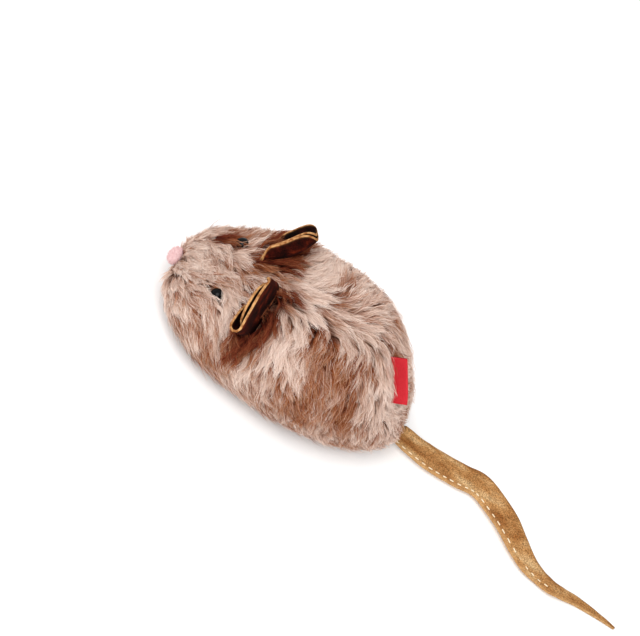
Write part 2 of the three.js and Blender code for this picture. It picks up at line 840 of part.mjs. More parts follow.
function casePrism(inset, low, high) {
  const options = { depth: high - low, bevelEnabled: false, curveSegments: cornerSteps };
  const geometry = new THREE.ExtrudeGeometry(roundedOutline(inset), options);
  geometry.translate(0, 0, low);
  return closedSolid(geometry);
}

function upright(x, y, low, high, radius) {
  return rodSolid(new THREE.Vector3(x, y, low), zAxis, radius, high - low, smallSides);
}

const cellX = (index) => (index - (cellCount - 1) / 2) * (cellHeight + seatGap);
const stackEnd = cellX(cellCount - 1) + cellHeight / 2;
const cellY = -(caseWidth / 2 - caseWall - cradleWall - seatGap - cellRadius);
const cellZ = floorTop + seatGap + cellRadius;
const plusContactX = stackEnd + seatGap;
const minusContactX = -stackEnd - 2 * seatGap - springLength - contactThickness;
const cradleSide = cellY + cellRadius + seatGap + cradleWall;

function cradle() {
  const low = minusContactX - seatGap - cradleWall;
  const high = plusContactX + contactThickness + seatGap + cradleWall;
  const walls = block(
    low, high,
    -caseWidth / 2 + caseWall / 2, cradleSide,
    caseWall / 2, floorTop + cradleHeight,
  );
  const start = new THREE.Vector3(minusContactX - seatGap, cellY, cellZ);
  const boreLength = high - cradleWall - (minusContactX - seatGap);
  const bore = rodSolid(start, xAxis, cellRadius + seatGap, boreLength, roundSides);
  const slot = (x) => block(
    x - seatGap, x + contactThickness + seatGap,
    cellY - contactWidth / 2 - seatGap, cellY + contactWidth / 2 + seatGap,
    contactBottom - seatGap, floorTop + cradleHeight + overrun,
  );
  return walls.subtract(bore).subtract(slot(minusContactX)).subtract(slot(plusContactX));
}

const contactBottom = cellZ - contactTall / 2;
const boardY = cradleSide + seatGap;
const boardBottom = floorTop + boardPostHeight + seatGap;
const boardTop = boardBottom + boardThickness;
const boardEnd = bossX - bossRadius - seatGap;
const boardFar = caseWidth / 2 - caseWall - seatGap;
const boardMiddleY = (boardY + boardFar) / 2;
const partBottom = boardTop + seatGap;

// A place on the board at shares of its length and width
function boardPlace([alongShare, acrossShare]) {
  const x = boardEnd - boardLength * (1 - alongShare);
  return { x, y: THREE.MathUtils.lerp(boardY, boardFar, acrossShare) };
}

function lowerCase() {
  const inside = casePrism(caseWall, floorTop, caseLowerHeight + overrun);
  let solid = casePrism(0, 0, caseLowerHeight).subtract(inside).add(cradle());
  for (const [x, y] of bossPlaces) {
    solid = solid.add(upright(x, y, floorTop / 2, caseLowerHeight - seatGap, bossRadius));
  }
  for (const share of boardPostShares) {
    const x = boardEnd - boardLength * share;
    solid = solid.add(upright(x, boardMiddleY, floorTop / 2, floorTop + boardPostHeight, boardPostRadius));
  }
  for (const [x, y] of bossPlaces) {
    const boreTop = caseLowerHeight + overrun;
    solid = solid.subtract(upright(x, y, screwTip - seatGap, boreTop, screwRadius + seatGap));
  }
  return solid;
}

const headSeat = caseHeight - screwHeadHeight - seatGap;
const screwTip = headSeat + seatGap - screwLength;

function lid() {
  const lipInset = caseWall + seatGap;
  let solid = casePrism(0, lidBottom, caseHeight).add(casePrism(lipInset, lidBottom - lipHeight, lidRoof));
  solid = solid.subtract(casePrism(lipInset + lipWall, lidBottom - lipHeight - overrun, lidRoof));
  for (const [x, y] of bossPlaces) {
    solid = solid.add(upright(x, y, lidBottom, lidRoof + caseWall / 2, bossRadius));
    solid = solid.subtract(upright(x, y, lidBottom - overrun, caseHeight + overrun, screwRadius + seatGap));
    solid = solid.subtract(upright(x, y, headSeat, caseHeight + overrun, screwHeadRadius + seatGap));
  }
  for (let i = 0; i < soundHoleCount; i += 1) {
    const angle = (2 * Math.PI * i) / soundHoleCount;
    const x = soundHoleCircle * Math.cos(angle);
    const y = soundHoleCircle * Math.sin(angle);
    solid = solid.subtract(upright(x, y, lidRoof - overrun, caseHeight + overrun, soundHoleRadius));
  }
  return solid.subtract(upright(0, 0, lidRoof - overrun, caseHeight + overrun, soundHoleRadius));
}

function caseScrew([x, y]) {
  const seat = headSeat + seatGap;
  const profile = [
    [0, screwTip], [screwRadius / 2, screwTip], [screwRadius, screwTip + screwRadius],
    [screwRadius, seat], [screwHeadRadius, seat], [screwHeadRadius, seat + screwHeadHeight / 2],
    [screwHeadRadius / 2, seat + screwHeadHeight], [0, seat + screwHeadHeight],
  ];
  const geometry = new THREE.LatheGeometry(profile.map(([r, h]) => new THREE.Vector2(r, h)), smallSides);
  geometry.rotateX(Math.PI / 2);
  geometry.translate(x, y, 0);
  return closedSolid(geometry);
}

function pouchPrism(grow) {
  const inset = -seatGap - grow;
  const rounding = grow > 0 ? pouchRounding : 0;
  const depth = caseHeight + 2 * (seatGap + grow) - 2 * rounding;
  const geometry = new THREE.ExtrudeGeometry(roundedOutline(inset + rounding), {
    depth,
    curveSegments: cornerSteps,
    bevelEnabled: rounding > 0,
    bevelSize: rounding,
    bevelThickness: rounding,
    bevelSegments: 2,
  });
  geometry.translate(0, 0, inset + rounding);
  return closedSolid(geometry);
}

function pouch() {
  const mouth = block(
    caseLength / 2, caseLength / 2 + seatGap + pouchWall + overrun,
    -pouchMouthWidth / 2, pouchMouthWidth / 2,
    (caseHeight - pouchMouthHeight) / 2, (caseHeight + pouchMouthHeight) / 2,
  );
  return pouchPrism(pouchWall).subtract(pouchPrism(0)).subtract(mouth);
}

function buttonCell(index) {
  const chamfer = cellHeight - cellCapHeight;
  const profile = [
    [0, 0], [cellRadius, 0], [cellRadius, chamfer],
    [cellCapRadius, chamfer], [cellCapRadius, cellHeight], [0, cellHeight],
  ];
  const start = new THREE.Vector3(cellX(index) + cellHeight / 2, cellY, cellZ);
  return turnedSolid(profile, start, xAxis.clone().negate(), roundSides);
}

// A contact plate with an arm over the cradle's wall and a leg down to the board
function contact(x) {
  const plateSide = cellY + contactWidth / 2;
  const top = contactBottom + contactTall;
  const reach = plateSide + contactArmReach;
  const outline = [
    [cellY - contactWidth / 2, contactBottom], [plateSide, contactBottom],
    [plateSide, top - contactArmWidth], [reach - contactLegWidth, top - contactArmWidth],
    [reach - contactLegWidth, partBottom], [reach, partBottom],
    [reach, top], [cellY - contactWidth / 2, top],
  ];
  const shape = new THREE.Shape(outline.map(([y, z]) => new THREE.Vector2(y, z)));
  const geometry = new THREE.ExtrudeGeometry(shape, { depth: contactThickness, bevelEnabled: false });
  geometry.applyMatrix4(new THREE.Matrix4().makeBasis(yAxis, zAxis, xAxis));
  geometry.translate(x, 0, 0);
  return closedSolid(geometry);
}

function contactSpring() {
  const steps = springTurns * springStepsPerTurn;
  const start = minusContactX + contactThickness + seatGap;
  const reach = springLength - springWire;
  const points = [];
  for (let i = 0; i <= steps; i += 1) {
    const angle = (2 * Math.PI * i) / springStepsPerTurn;
    const radius = THREE.MathUtils.lerp(springWideRadius, springNarrowRadius, i / steps);
    points.push(new THREE.Vector3(
      start + springWire / 2 + (reach * i) / steps,
      cellY + radius * Math.cos(angle),
      cellZ + radius * Math.sin(angle),
    ));
  }
  return wireSolid(points, springWire / 2, steps, springSides);
}

function wireSolid(points, radius, steps, sides) {
  const section = new THREE.Shape();
  for (let i = 0; i < sides; i += 1) {
    const angle = (2 * Math.PI * i) / sides;
    const [x, y] = [radius * Math.cos(angle), radius * Math.sin(angle)];
    if (i === 0) section.moveTo(x, y);
    else section.lineTo(x, y);
  }
  const extrudePath = new THREE.CatmullRomCurve3(points);
  return closedSolid(new THREE.ExtrudeGeometry(section, { steps, extrudePath }));
}

function circuitBoard() {
  const plate = block(boardEnd - boardLength, boardEnd, boardY, caseWidth / 2, boardBottom, boardTop);
  return plate.intersect(casePrism(caseWall + seatGap, boardBottom - overrun, boardTop + overrun));
}

function soundChip() {
  const { x, y } = boardPlace(blobShares);
  const blobRadius = blobWidthShare * (boardFar - boardY);
  const profile = [
    [0, 0], [blobRadius, 0], [blobShoulderShare * blobRadius, blobHeight / 2],
    [blobRadius / 2, blobHeight], [0, blobHeight],
  ];
  return turnedSolid(profile, new THREE.Vector3(x, y, partBottom), zAxis, roundSides);
}

function resistor() {
  const { x, y } = boardPlace(resistorShares);
  const start = new THREE.Vector3(x - resistorLength / 2, y, partBottom + resistorRadius);
  const waist = resistorWaistShare * resistorRadius;
  const profile = [
    [0, 0], [resistorRadius, 0], [resistorRadius, resistorLength / 4], [waist, resistorLength / 3],
    [waist, (2 * resistorLength) / 3], [resistorRadius, (3 * resistorLength) / 4],
    [resistorRadius, resistorLength], [0, resistorLength],
  ];
  return turnedSolid(profile, start, xAxis, smallSides);
}

function capacitor() {
  const { x, y } = boardPlace(capacitorShares);
  const z = partBottom + 2 * partLegRadius + capacitorRadius;
  const disc = rodSolid(new THREE.Vector3(x, y, z), yAxis, capacitorRadius, capacitorThickness, roundSides);
  const legs = [-1, 1].map((side) => rodSolid(
    new THREE.Vector3(x + (side * capacitorRadius) / 2, y + capacitorThickness / 2, partBottom),
    zAxis, partLegRadius, capacitorRadius, smallSides,
  ));
  return disc.add(legs[0]).add(legs[1]);
}

const switchY = caseWidth / 2 - caseWall - 2 * seatGap - switchRadius - wireRadius;
const switchZ = partBottom + switchRadius;
const switchStart = caseCorner - caseLength / 2;
const switchEnd = switchStart + switchLength;

function switchCan() {
  const bore = switchRadius - switchWall;
  const profile = [
    [0, 0], [switchRadius, 0], [switchRadius, switchLength],
    [bore, switchLength], [bore, switchWall], [0, switchWall],
  ];
  return turnedSolid(profile, new THREE.Vector3(switchStart, switchY, switchZ), xAxis, roundSides);
}

function switchBase() {
  const start = new THREE.Vector3(switchEnd + seatGap, switchY, switchZ);
  const disc = rodSolid(start, xAxis, switchRadius, switchBaseThickness, roundSides);
  const foot = block(
    start.x, start.x + switchBaseThickness,
    switchY - switchFootWidth / 2, switchY + switchFootWidth / 2,
    partBottom, switchZ,
  );
  return disc.add(foot);
}

const ballMiddle = (switchStart + switchWall + switchEnd + seatGap) / 2;
const ballTravel = (switchEnd + seatGap - switchStart - switchWall) / 2 - switchBallRadius - seatGap;

function switchBall() {
  const geometry = new THREE.SphereGeometry(switchBallRadius, smallSides, smallSides / 2);
  geometry.translate(ballMiddle, switchY, switchZ);
  return closedSolid(geometry);
}

const discTop = lidRoof - seatGap;
const ceramicTop = discTop - piezoThickness - seatGap;
const piezoRadius = caseWidth / 2 - caseWall - lipWall - 2 * seatGap - piezoRimRoom;
const ceramicRadius = ceramicRadiusShare * piezoRadius;

function piezoDisc() {
  const start = new THREE.Vector3(0, 0, discTop - piezoThickness);
  return rodSolid(start, zAxis, piezoRadius, piezoThickness, roundSides);
}

function piezoCeramic() {
  const start = new THREE.Vector3(0, 0, ceramicTop - ceramicThickness);
  return rodSolid(start, zAxis, ceramicRadius, ceramicThickness, roundSides);
}

// A wire from under the sounder's disc down to the board, bowed outwards
function piezoWire(side) {
  const x = (side * wireSpread) / 2;
  const top = discTop - piezoThickness - seatGap;
  const y = Math.sqrt(piezoRadius ** 2 - x ** 2) - 2 * wireRadius;
  const foot = boardPlace([0, wireFootShare]).y;
  const drop = top - partBottom;
  const points = [
    new THREE.Vector3(x, y, top),
    new THREE.Vector3(x, y, top - drop / 4),
    new THREE.Vector3(x, (y + foot) / 2 - wireRadius, top - drop / 2),
    new THREE.Vector3(x, foot, partBottom + drop / 4),
    new THREE.Vector3(x, foot, partBottom),
  ];
  return wireSolid(points, wireRadius, wireSteps, wireSides);
}

// Filling

function filling() {
  const cavity = geometryOf(pouchPrism(pouchWall + seatGap));
  cavity.translate(moduleX, 0, moduleBottom);
  return bodySolid(plushThickness + seatGap, liningSteps, liningSides)
    .subtract(closedSolid(cavity))
    .subtract(washerRoom(1))
    .subtract(washerRoom(-1));
}

const fillingSplit = moduleBottom + caseHeight / 2;

function fillingHalf(upper) {
  const low = upper ? fillingSplit + seatGap / 2 : -overrun;
  const high = upper ? bodyHeight + overrun : fillingSplit - seatGap / 2;
  return filling().intersect(block(rumpX, snoutX, -bodyWidth / 2, bodyWidth / 2, low, high));
}

// Materials

function finish(color, roughness, metalness) {
  return new THREE.MeshStandardMaterial({ color, roughness, metalness });
}

const plush = finish(0xc9ad9b, 0.95, 0);
const suede = finish(0xb98a58, 0.85, 0);
const darkSuede = finish(0x3a1a12, 0.9, 0);
const beadBlack = finish(0x0b0a0a, 0.15, 0);
const pinkFelt = finish(0xe8bcc2, 0.95, 0);
const redWoven = finish(0xc9202c, 0.8, 0);
const fibre = finish(0xeeeeea, 1, 0);
const pouchCloth = finish(0xd8d8d2, 0.95, 0);
const casePlastic = finish(0xf0efe9, 0.45, 0);
const washerPlastic = finish(0xf4f4f0, 0.4, 0);
const steel = finish(0xb8bcc0, 0.3, 1);
const nickel = finish(0xcfd0cc, 0.35, 1);
const boardGreen = finish(0x1f5a34, 0.5, 0);
const epoxyBlack = finish(0x141414, 0.35, 0);
const brass = finish(0xc9a23f, 0.3, 1);
const ceramic = finish(0xe9e4d8, 0.6, 0);
const partBrown = finish(0xa8743a, 0.5, 0);
const wireRed = finish(0xb0201c, 0.5, 0);
const wireBlack = finish(0x16161a, 0.5, 0);

// Assembly

const mouse = new THREE.Group();
mouse.add(namedMesh('left_side_panel', sidePanel(1), plush));
mouse.add(namedMesh('right_side_panel', sidePanel(-1), plush));
mouse.add(namedMesh('belly_panel', bellyPanel(), plush));
mouse.add(namedMesh('upper_stuffing', fillingHalf(true), fibre));
mouse.add(namedMesh('lower_stuffing', fillingHalf(false), fibre));
mouse.add(namedMesh('left_ear_back', leftEarBack(), suede));
mouse.add(namedMesh('left_ear_lining', leftEarLining(), darkSuede));
mouse.add(namedMesh('right_ear_back', rightEarBack(), suede));
mouse.add(namedMesh('right_ear_lining', rightEarLining(), darkSuede));
mouse.add(namedMesh('left_eye', eyeBead(1), beadBlack));
mouse.add(namedMesh('right_eye', eyeBead(-1), beadBlack));
mouse.add(namedMesh('left_eye_washer', eyeWasher(1), washerPlastic));
mouse.add(namedMesh('right_eye_washer', eyeWasher(-1), washerPlastic));
mouse.add(namedMesh('nose', nosePad(), pinkFelt));
mouse.add(namedMesh('tail', tailStrip(), suede));
mouse.add(namedMesh('seam_label', foldedLabel(), redWoven));

const soundModule = new THREE.Group();
soundModule.position.set(moduleX, 0, moduleBottom);
soundModule.add(namedMesh('module_pouch', pouch(), pouchCloth));
soundModule.add(namedMesh('module_lower_case', lowerCase(), casePlastic));
soundModule.add(namedMesh('module_lid', lid(), casePlastic));
soundModule.add(namedMesh('case_screw_rear', caseScrew(bossPlaces[0]), steel));
soundModule.add(namedMesh('case_screw_front', caseScrew(bossPlaces[1]), steel));
for (let i = 0; i < cellCount; i += 1) {
  soundModule.add(namedMesh(`button_cell_${i + 1}`, buttonCell(i), nickel));
}
soundModule.add(namedMesh('plus_contact', contact(plusContactX), nickel));
soundModule.add(namedMesh('minus_contact', contact(minusContactX), nickel));
soundModule.add(namedMesh('minus_contact_spring', contactSpring(), steel));
soundModule.add(namedMesh('circuit_board', circuitBoard(), boardGreen));
soundModule.add(namedMesh('sound_chip', soundChip(), epoxyBlack));
soundModule.add(namedMesh('resistor', resistor(), partBrown));
soundModule.add(namedMesh('capacitor', capacitor(), partBrown));
soundModule.add(namedMesh('motion_switch_can', switchCan(), brass));
soundModule.add(namedMesh('motion_switch_base', switchBase(), epoxyBlack));
soundModule.add(namedMesh('motion_switch_ball', switchBall(), brass));
soundModule.add(namedMesh('piezo_disc', piezoDisc(), brass));
soundModule.add(namedMesh('piezo_ceramic', piezoCeramic(), ceramic));
soundModule.add(namedMesh('piezo_wire_red', piezoWire(1), wireRed));
soundModule.add(namedMesh('piezo_wire_black', piezoWire(-1), wireBlack));
mouse.add(soundModule);

// Where each moving piece turns or slides, for whoever joins them
const leftFrame = earFrame(leftEar);
const rightFrame = earFrame(rightEar);
const label = labelFrame();
mouse.userData.joints = {
  left_ear_bend: { at: leftFrame.root, axis: leftFrame.across, range: earRange(leftEar) },
  right_ear_bend: { at: rightFrame.root, axis: rightFrame.across, range: earRange(rightEar) },
  tail_swing: { at: tailHinge, axis: zAxis, range: [-tailSwingAngle, tailSwingAngle] },
  label_flap: { at: label.root, axis: label.along, range: [-labelSwingAngle, labelSwingAngle] },
  switch_ball_roll: { axis: xAxis, range: [-ballTravel, ballTravel] },
};

export default mouse;
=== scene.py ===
import math

import bmesh
import bpy
import numpy as np
from mathutils import Matrix, Vector, noise
from mathutils.bvhtree import BVHTree
from mathutils.kdtree import KDTree


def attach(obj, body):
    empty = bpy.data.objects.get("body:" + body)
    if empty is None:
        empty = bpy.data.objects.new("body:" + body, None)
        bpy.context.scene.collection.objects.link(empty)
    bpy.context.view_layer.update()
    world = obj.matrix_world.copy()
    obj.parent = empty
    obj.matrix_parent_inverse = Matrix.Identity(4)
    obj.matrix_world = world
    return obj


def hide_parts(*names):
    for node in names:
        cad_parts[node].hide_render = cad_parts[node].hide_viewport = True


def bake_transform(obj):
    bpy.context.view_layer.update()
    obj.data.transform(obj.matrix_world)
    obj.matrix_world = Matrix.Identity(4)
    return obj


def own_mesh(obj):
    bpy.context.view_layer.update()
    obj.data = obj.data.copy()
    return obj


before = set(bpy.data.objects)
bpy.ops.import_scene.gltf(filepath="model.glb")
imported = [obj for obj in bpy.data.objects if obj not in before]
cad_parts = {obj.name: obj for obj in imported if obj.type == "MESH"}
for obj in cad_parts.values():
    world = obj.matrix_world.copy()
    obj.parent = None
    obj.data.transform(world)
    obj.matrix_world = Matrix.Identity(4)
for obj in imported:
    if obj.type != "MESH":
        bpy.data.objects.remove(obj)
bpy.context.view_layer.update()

# The looks of a stuffed plush mouse: fur, cupped suede ears, a folded and stitched
# suede tail, bead eyes, a soft nose and a woven label. Sizes are in metres.

MM = 0.001
rng = np.random.default_rng(11)

# Stuffed body, as the solids have it
body_length = 95.5 * MM
body_width = 56.6 * MM
body_height = 41 * MM
rump_height = 7.2 * MM
snout_height = 13 * MM
belly_flat = 0.5 * MM
belt_share = 0.48
upper_section_power = 2.35
lower_section_power = 2.65
rump_x = -body_length / 2
snout_x = body_length / 2
seat_gap = 0.3 * MM

# The share of its length where the body is fullest, and its powers to the rear and front
plan_fullness = (0.5, 1.75, 2.4)
top_fullness = (0.38, 1.42, 1.5)
bottom_fullness = (0.45, 2.5, 2.5)

# Backing cloth under the pile
backing_depth = 2.6 * MM
backing_thickness = 0.7 * MM
skin_rows = 120
skin_sides = 160
skin_shares = (1 - np.cos(np.pi * np.arange(skin_rows + 1) / skin_rows)) / 2
skin_angles = 2 * np.pi * np.arange(skin_sides + 1) / skin_sides

# Pile: fewer strands underneath, and more and shorter ones near the snout
strand_count = 175000
most_strands = 19000
strand_steps = 5
strand_width = 0.155 * MM
strand_travel = 10.5 * MM
strand_sewn = 0.1 * MM
strand_root = backing_depth + strand_sewn
floor_clear = 0.15 * MM
under_sine = -0.55
under_density = 0.35
snout_densities = [(0.75, 1), (0.85, 1.5), (0.95, 2.2), (0.98, 4)]
tip_lengths = [(0, 0.75), (0.04, 1), (0.88, 1), (1, 0.55)]

# Comb: its pull backwards down the body, the more along the ridge of the back, and its
# pull sideways and down on the flanks
comb_pulls = [(0, 1), (0.15, 0.9), (0.35, 0.6), (0.6, 0.4), (0.8, 0.3), (0.9, 0.5), (1, 1)]
ridge_pull = 0.55
ridge_width = 11 * MM
side_pull = 0.8
down_pull = 0.47
flank_start = 18 * MM

# Locks: how they swirl by share, size and seed, how each strays, waves and stands up
lock_count = 3600
lock_swirls = [(0.65, 7 * MM, 5), (0.35, 3 * MM, 6)]
lock_stray = 0.22
lock_lengths = (0.75, 1.2)
lock_wave = 0.55 * MM
lock_wave_length = 7.5 * MM
lock_smoothing = 0.5
lock_stand = 1.2 * MM
lock_stands = (0.5, 1.5)
lock_tone_spread = 0.34
least_stand = -0.9 * MM
flank_stands = [(-0.2, 0.35), (0.5, 1)]

# Strands in a lock: how far each reaches and gathers in, how it sways and curls, and the
# loose ones among them
strand_reaches = (0.6, 1.1)
strand_gathers = (0.35, 0.92)
snout_gathers = [(0.75, 1), (0.9, 0.45)]
next_lock_share = 0.18
run_power = 1.15
rise_power = 2.2
gather_power = 1.3
strand_sway = 0.28 * MM
strand_curl = 0.12 * MM
curl_turn = 5
strand_tone_spread = 0.13
loose_share = 0.1
loose_reach = 0.15
loose_gather = 0.1
loose_stand = 0.7 * MM
ribbon_roll = 0.6
ribbon_widths = (0.7, 1.3)
ribbon_root_share = 0.8
ribbon_swell_share = 0.6
ribbon_point_share = 0.88

# Waves over the surface: how many, their spread of sizes and what they add up to
wave_count = 7
wave_sizes = (0.7, 1.6)
wave_total = 3

# Tones run from pale over brown to maroon, the maroon end being painted shade, and wander by share, size and
# seed
plain_tone = 0.32
tone_waves = [(0.35, 5.5 * MM, 3), (0.4, 1.6 * MM, 4)]
brown_full = 0.6
tone_margin = 0.01
tone_span = 0.97
strand_span = 0.98

# Fur by the ears and the label; the pile round the ears is painted maroon as the shade in the crevice under
# them
ear_fur_clear = 0.6 * MM
ear_painted_shade_reach = 2.8 * MM
ear_fur_rise = 3 * MM
ear_fur_spread = 3.5 * MM
ear_fur_reach = 6 * MM
ear_painted_shade_strand_tone = 0.9
ear_painted_shade_tone = 1.3
ear_near_share = 1.4
label_fur_clear = 0.15 * MM
label_fur_reach = 9 * MM

# Ears: each edge of a layer is a flat run from the middle, a turn of some radius and
# angle, a run beyond the turn, the share of its width that is left at the root and the
# share of the ear's length where it is full; the inner edge is nearer the centre seam
ear_length = 16.5 * MM
ear_root = 3.2 * MM
ear_layer = 0.75 * MM
ear_rim_gap = 0.85 * MM
ear_least_reach = 0.02 * MM
ear_widest_share = 0.5
ear_curl_power = 2.5
ear_splay_angle = 0.62
ear_turn_angle = 0.12
ear_ripple_share = 0.06
ear_ripple_turns = (7, 5)
ear_rim_share = 0.3
ear_cut_reach = 0.14 * MM
ears = {
    "left": {
        "side": 1, "along": 0.715, "around": 1.196, "lean": 0.5,
        "tip_power": 2.6, "tip_curl": 0.4 * MM,
        "back": {
            "inner": (8.6 * MM, 1.1 * MM, 2.5, 0.2 * MM, 0.56, 0.5),
            "outer": (7.6 * MM, 1.8 * MM, 3.1, 7.0 * MM, 0.56, 0.5),
        },
        "lining": {
            "inner": (7.4 * MM, 3.0 * MM, 0.2, 0.2 * MM, 0.56, 0.5),
            "outer": (6.6 * MM, 3.0 * MM, 0.2, 0.2 * MM, 0.56, 0.5),
        },
    },
    "right": {
        "side": -1, "along": 0.766, "around": 1.3, "lean": -0.7,
        "tip_power": 3.0, "tip_curl": 5.0 * MM,
        "back": {
            "inner": (1.5 * MM, 5.3 * MM, 1.4, 1.7 * MM, 0.3, 0.28),
            "outer": (1.5 * MM, 5.3 * MM, 1.2, 2.0 * MM, 0.1, 0.5),
        },
        "lining": {
            "inner": (1.5 * MM, 3.7 * MM, 1.4, 1.7 * MM, 0.3, 0.28),
            "outer": (1.5 * MM, 3.7 * MM, 1.2, 2.0 * MM, 0.1, 0.5),
        },
    },
}

# Eyes: domed beads with a stem
eye_along_share = 0.857
eye_around_angle = 1.105
eye_radius = 2.3 * MM
eye_dome = 2.1 * MM
eye_sink = 0.7 * MM
eye_rim_depth = 0.3 * MM
eye_rim_share = 0.2
eye_stem_radius = 0.9 * MM
eye_stem_depth = 2.0 * MM
eye_clear_radius = {1: 1.55 * MM, -1: 1.1 * MM}

# Nose: its depth, width and height, how far it stands out, its cleft and its fibres
nose_size = (4.6 * MM, 6.4 * MM, 5.2 * MM)
nose_out = 0.7 * MM
nose_half = np.array(nose_size) / 2
nose_centre = np.array([snout_x + nose_out, 0, snout_height])
nose_cleft_share = 0.1
nose_cleft_width = 0.16
nose_cleft_top = 0.2
nose_fuzz_count = 900
nose_fuzz_length = 0.55 * MM
nose_fuzz_width = 0.12 * MM
nose_fuzz_lean = 0.45
nose_fuzz_seat = 0.97
nose_fuzz_back = -0.35

# Tail: how it sways, narrows, thins and rolls over at places along it
tail_reach = 109 * MM
tail_sway = 12 * MM
tail_width = 8.6 * MM
tail_thickness = 2.4 * MM
tail_drop_share = 0.3
tail_floor_gap = 0.3 * MM
tail_fur_clear = 0.1 * MM
tail_sewn_depth = 4.0 * MM
tail_runs = [0, 0.08, 0.16, 0.262, 0.352, 0.416, 0.488, 0.549, 0.612, 0.664, 0.711, 0.768, 0.834, 0.889, 1]
tail_sways = [0, 0, -0.05, -0.2, -0.33, -0.14, 0.17, 0.56, 0.87, 0.97, 1, 0.91, 0.8, 0.77, 0.76]
tail_widths = [1, 1, 1, 1, 1, 1, 0.98, 0.88, 0.72, 0.6, 0.54, 0.47, 0.38, 0.3, 0.1]
tail_thicks = [1, 1, 1, 1, 1, 1, 1, 1, 1, 0.95, 0.9, 0.8, 0.7, 0.6, 0.4]
tail_rolls = [0, 0.1, 0.3, 0.42, 0.46, 0.48, 0.5, 0.48, 0.4, 0.2, 0.45, 0.8, 0.9, 0.95, 1]
tail_full_roll = math.pi / 2
tail_rings = 190
tail_layer_share = 0.42
tail_fold_share = 0.82
tail_groove_share = 0.16
tail_groove_place = 0.16
tail_groove_width = 0.07
tail_ripple = 0.12 * MM
tail_ripple_turns = (61, 23)
tail_raw_fade = 4.0
tail_raw_outside = 0.7
tail_raw_inside = 0.2
tail_hinge_x = rump_x - seat_gap - tail_thickness / 2
fold_inner_share = 0.3

# Stitches, which run out over the tail's face towards its tip
stitch_pitch = 3.0 * MM
stitch_length = 2.0 * MM
stitch_radius = 0.23 * MM
stitch_flat_share = 0.75
stitch_stand = 0.05 * MM
stitch_dip = 0.35 * MM
stitch_seat_share = 0.9
stitch_end_share = 0.02
stitched_share = 0.72
stitch_heights = [(0, -0.66), (0.5, -0.6), (0.62, -0.3), (0.72, 0)]

# Label: folded double, with rounded upper corners and a slight wave
label_length = 14.6 * MM
label_reach = 6.8 * MM
label_thickness = 0.8 * MM
label_layer_share = 0.36
label_corner = 0.25 * MM
label_wave = 0.25 * MM
label_wave_turn = 5
label_along_share = 0.215
label_around_angle = 1.38
label_slant_angle = -0.64
label_threads = (("X", 60), ("Y", 44))

# Camera, at the photograph's place
camera_distance = 0.6
camera_lens = 102.3
camera_sensor = 36
camera_nearest = 0.01
camera_furthest = 20
camera_right = Vector((-0.7758, -0.3398, 0.5317))
camera_up = Vector((0.5639, -0.7516, 0.3423))
camera_back = Vector((0.2833, 0.5654, 0.7747))
aim_right = 0.0261
aim_up = 0.0209

# Floor, and lamps with their places, sizes and powers
world_strength = 0.72
floor_half = 3.0
floor_white_start = 0.2
floor_white_full = 0.5
light_aim = Vector((0, 0, 0.02))
lights = {
    "key": ((0.5, 0.35, 0.9), 0.7, 9.0),
    "fill": ((-0.7, 0.6, 0.6), 0.8, 3.0),
}

# Soft pieces inside
weld_distance = 0.001 * MM
lump_fineness = 400
filling_lumps = 0.2 * MM
pouch_lumps = 0.1 * MM

# Grains to the metre, and how deep they are
cloud_grain = 260
nap_grain = 2600
wear_grain = 700
floor_grain = 30
nap_depth = 0.12 * MM
weave_depth = 0.08 * MM
knit_depth = 0.2 * MM
grain_depth = 0.05 * MM

# Colours of a strand from its root to its tip, pale, brown and maroon; the maroon is painted shade, for pile
# in crevices, dimples and deep gaps
fur_colours = [
    [(0, (136, 88, 66)), (0.3, (178, 132, 108)), (0.6, (220, 190, 172)), (1, (250, 234, 223))],
    [(0, (72, 26, 11)), (0.4, (106, 45, 18)), (0.72, (146, 79, 40)), (1, (200, 146, 108))],
    [(0, (34, 7, 3)), (0.4, (60, 14, 6)), (0.75, (96, 32, 14)), (1, (144, 74, 42))],
]

# Suede: its colours from deep to high, and those of its cut edge
ear_edge = ((134, 80, 42), (206, 156, 104))
tail_edge = ((188, 142, 92), (216, 174, 122))
ear_back_colours = ((22, 5, 3), (58, 13, 6), (112, 38, 16))
ear_lining_colours = ((12, 4, 3), (30, 9, 6), (62, 20, 11))
tail_colours = ((152, 94, 46), (192, 140, 86), (220, 182, 132))

# Materials of the hard parts: colours, grain, roughness, metallic and who wears them
hard_parts = [
    ("case_plastic_moulded", (232, 230, 222), (244, 242, 236), 1200, 0.45, 0.0,
     ["module_lower_case", "module_lid"]),
    ("washer_plastic_moulded", (238, 238, 232), (250, 250, 246), 1200, 0.4, 0.0,
     ["left_eye_washer", "right_eye_washer"]),
    ("screw_steel_turned", (150, 154, 158), (196, 200, 204), 2000, 0.3, 1.0,
     ["case_screw_rear", "case_screw_front", "minus_contact_spring"]),
    ("nickel_plate_drawn", (184, 184, 178), (214, 214, 208), 2000, 0.35, 1.0,
     ["button_cell_1", "button_cell_2", "button_cell_3", "plus_contact", "minus_contact"]),
    ("board_laminate", (24, 78, 44), (36, 102, 60), 800, 0.5, 0.0, ["circuit_board"]),
    ("black_epoxy_cast", (12, 12, 12), (26, 26, 26), 1500, 0.35, 0.0,
     ["sound_chip", "motion_switch_base"]),
    ("brass_rolled", (182, 144, 50), (212, 174, 78), 1500, 0.3, 1.0,
     ["motion_switch_can", "motion_switch_ball", "piezo_disc"]),
    ("ceramic_fired", (222, 216, 202), (238, 232, 220), 1500, 0.6, 0.0, ["piezo_ceramic"]),
    ("component_coat", (150, 100, 46), (184, 132, 70), 1500, 0.5, 0.0, ["resistor", "capacitor"]),
    ("wire_red_sleeve", (160, 24, 20), (190, 40, 34), 1500, 0.5, 0.0, ["piezo_wire_red"]),
    ("wire_black_sleeve", (14, 14, 16), (32, 32, 36), 1500, 0.5, 0.0, ["piezo_wire_black"]),
]

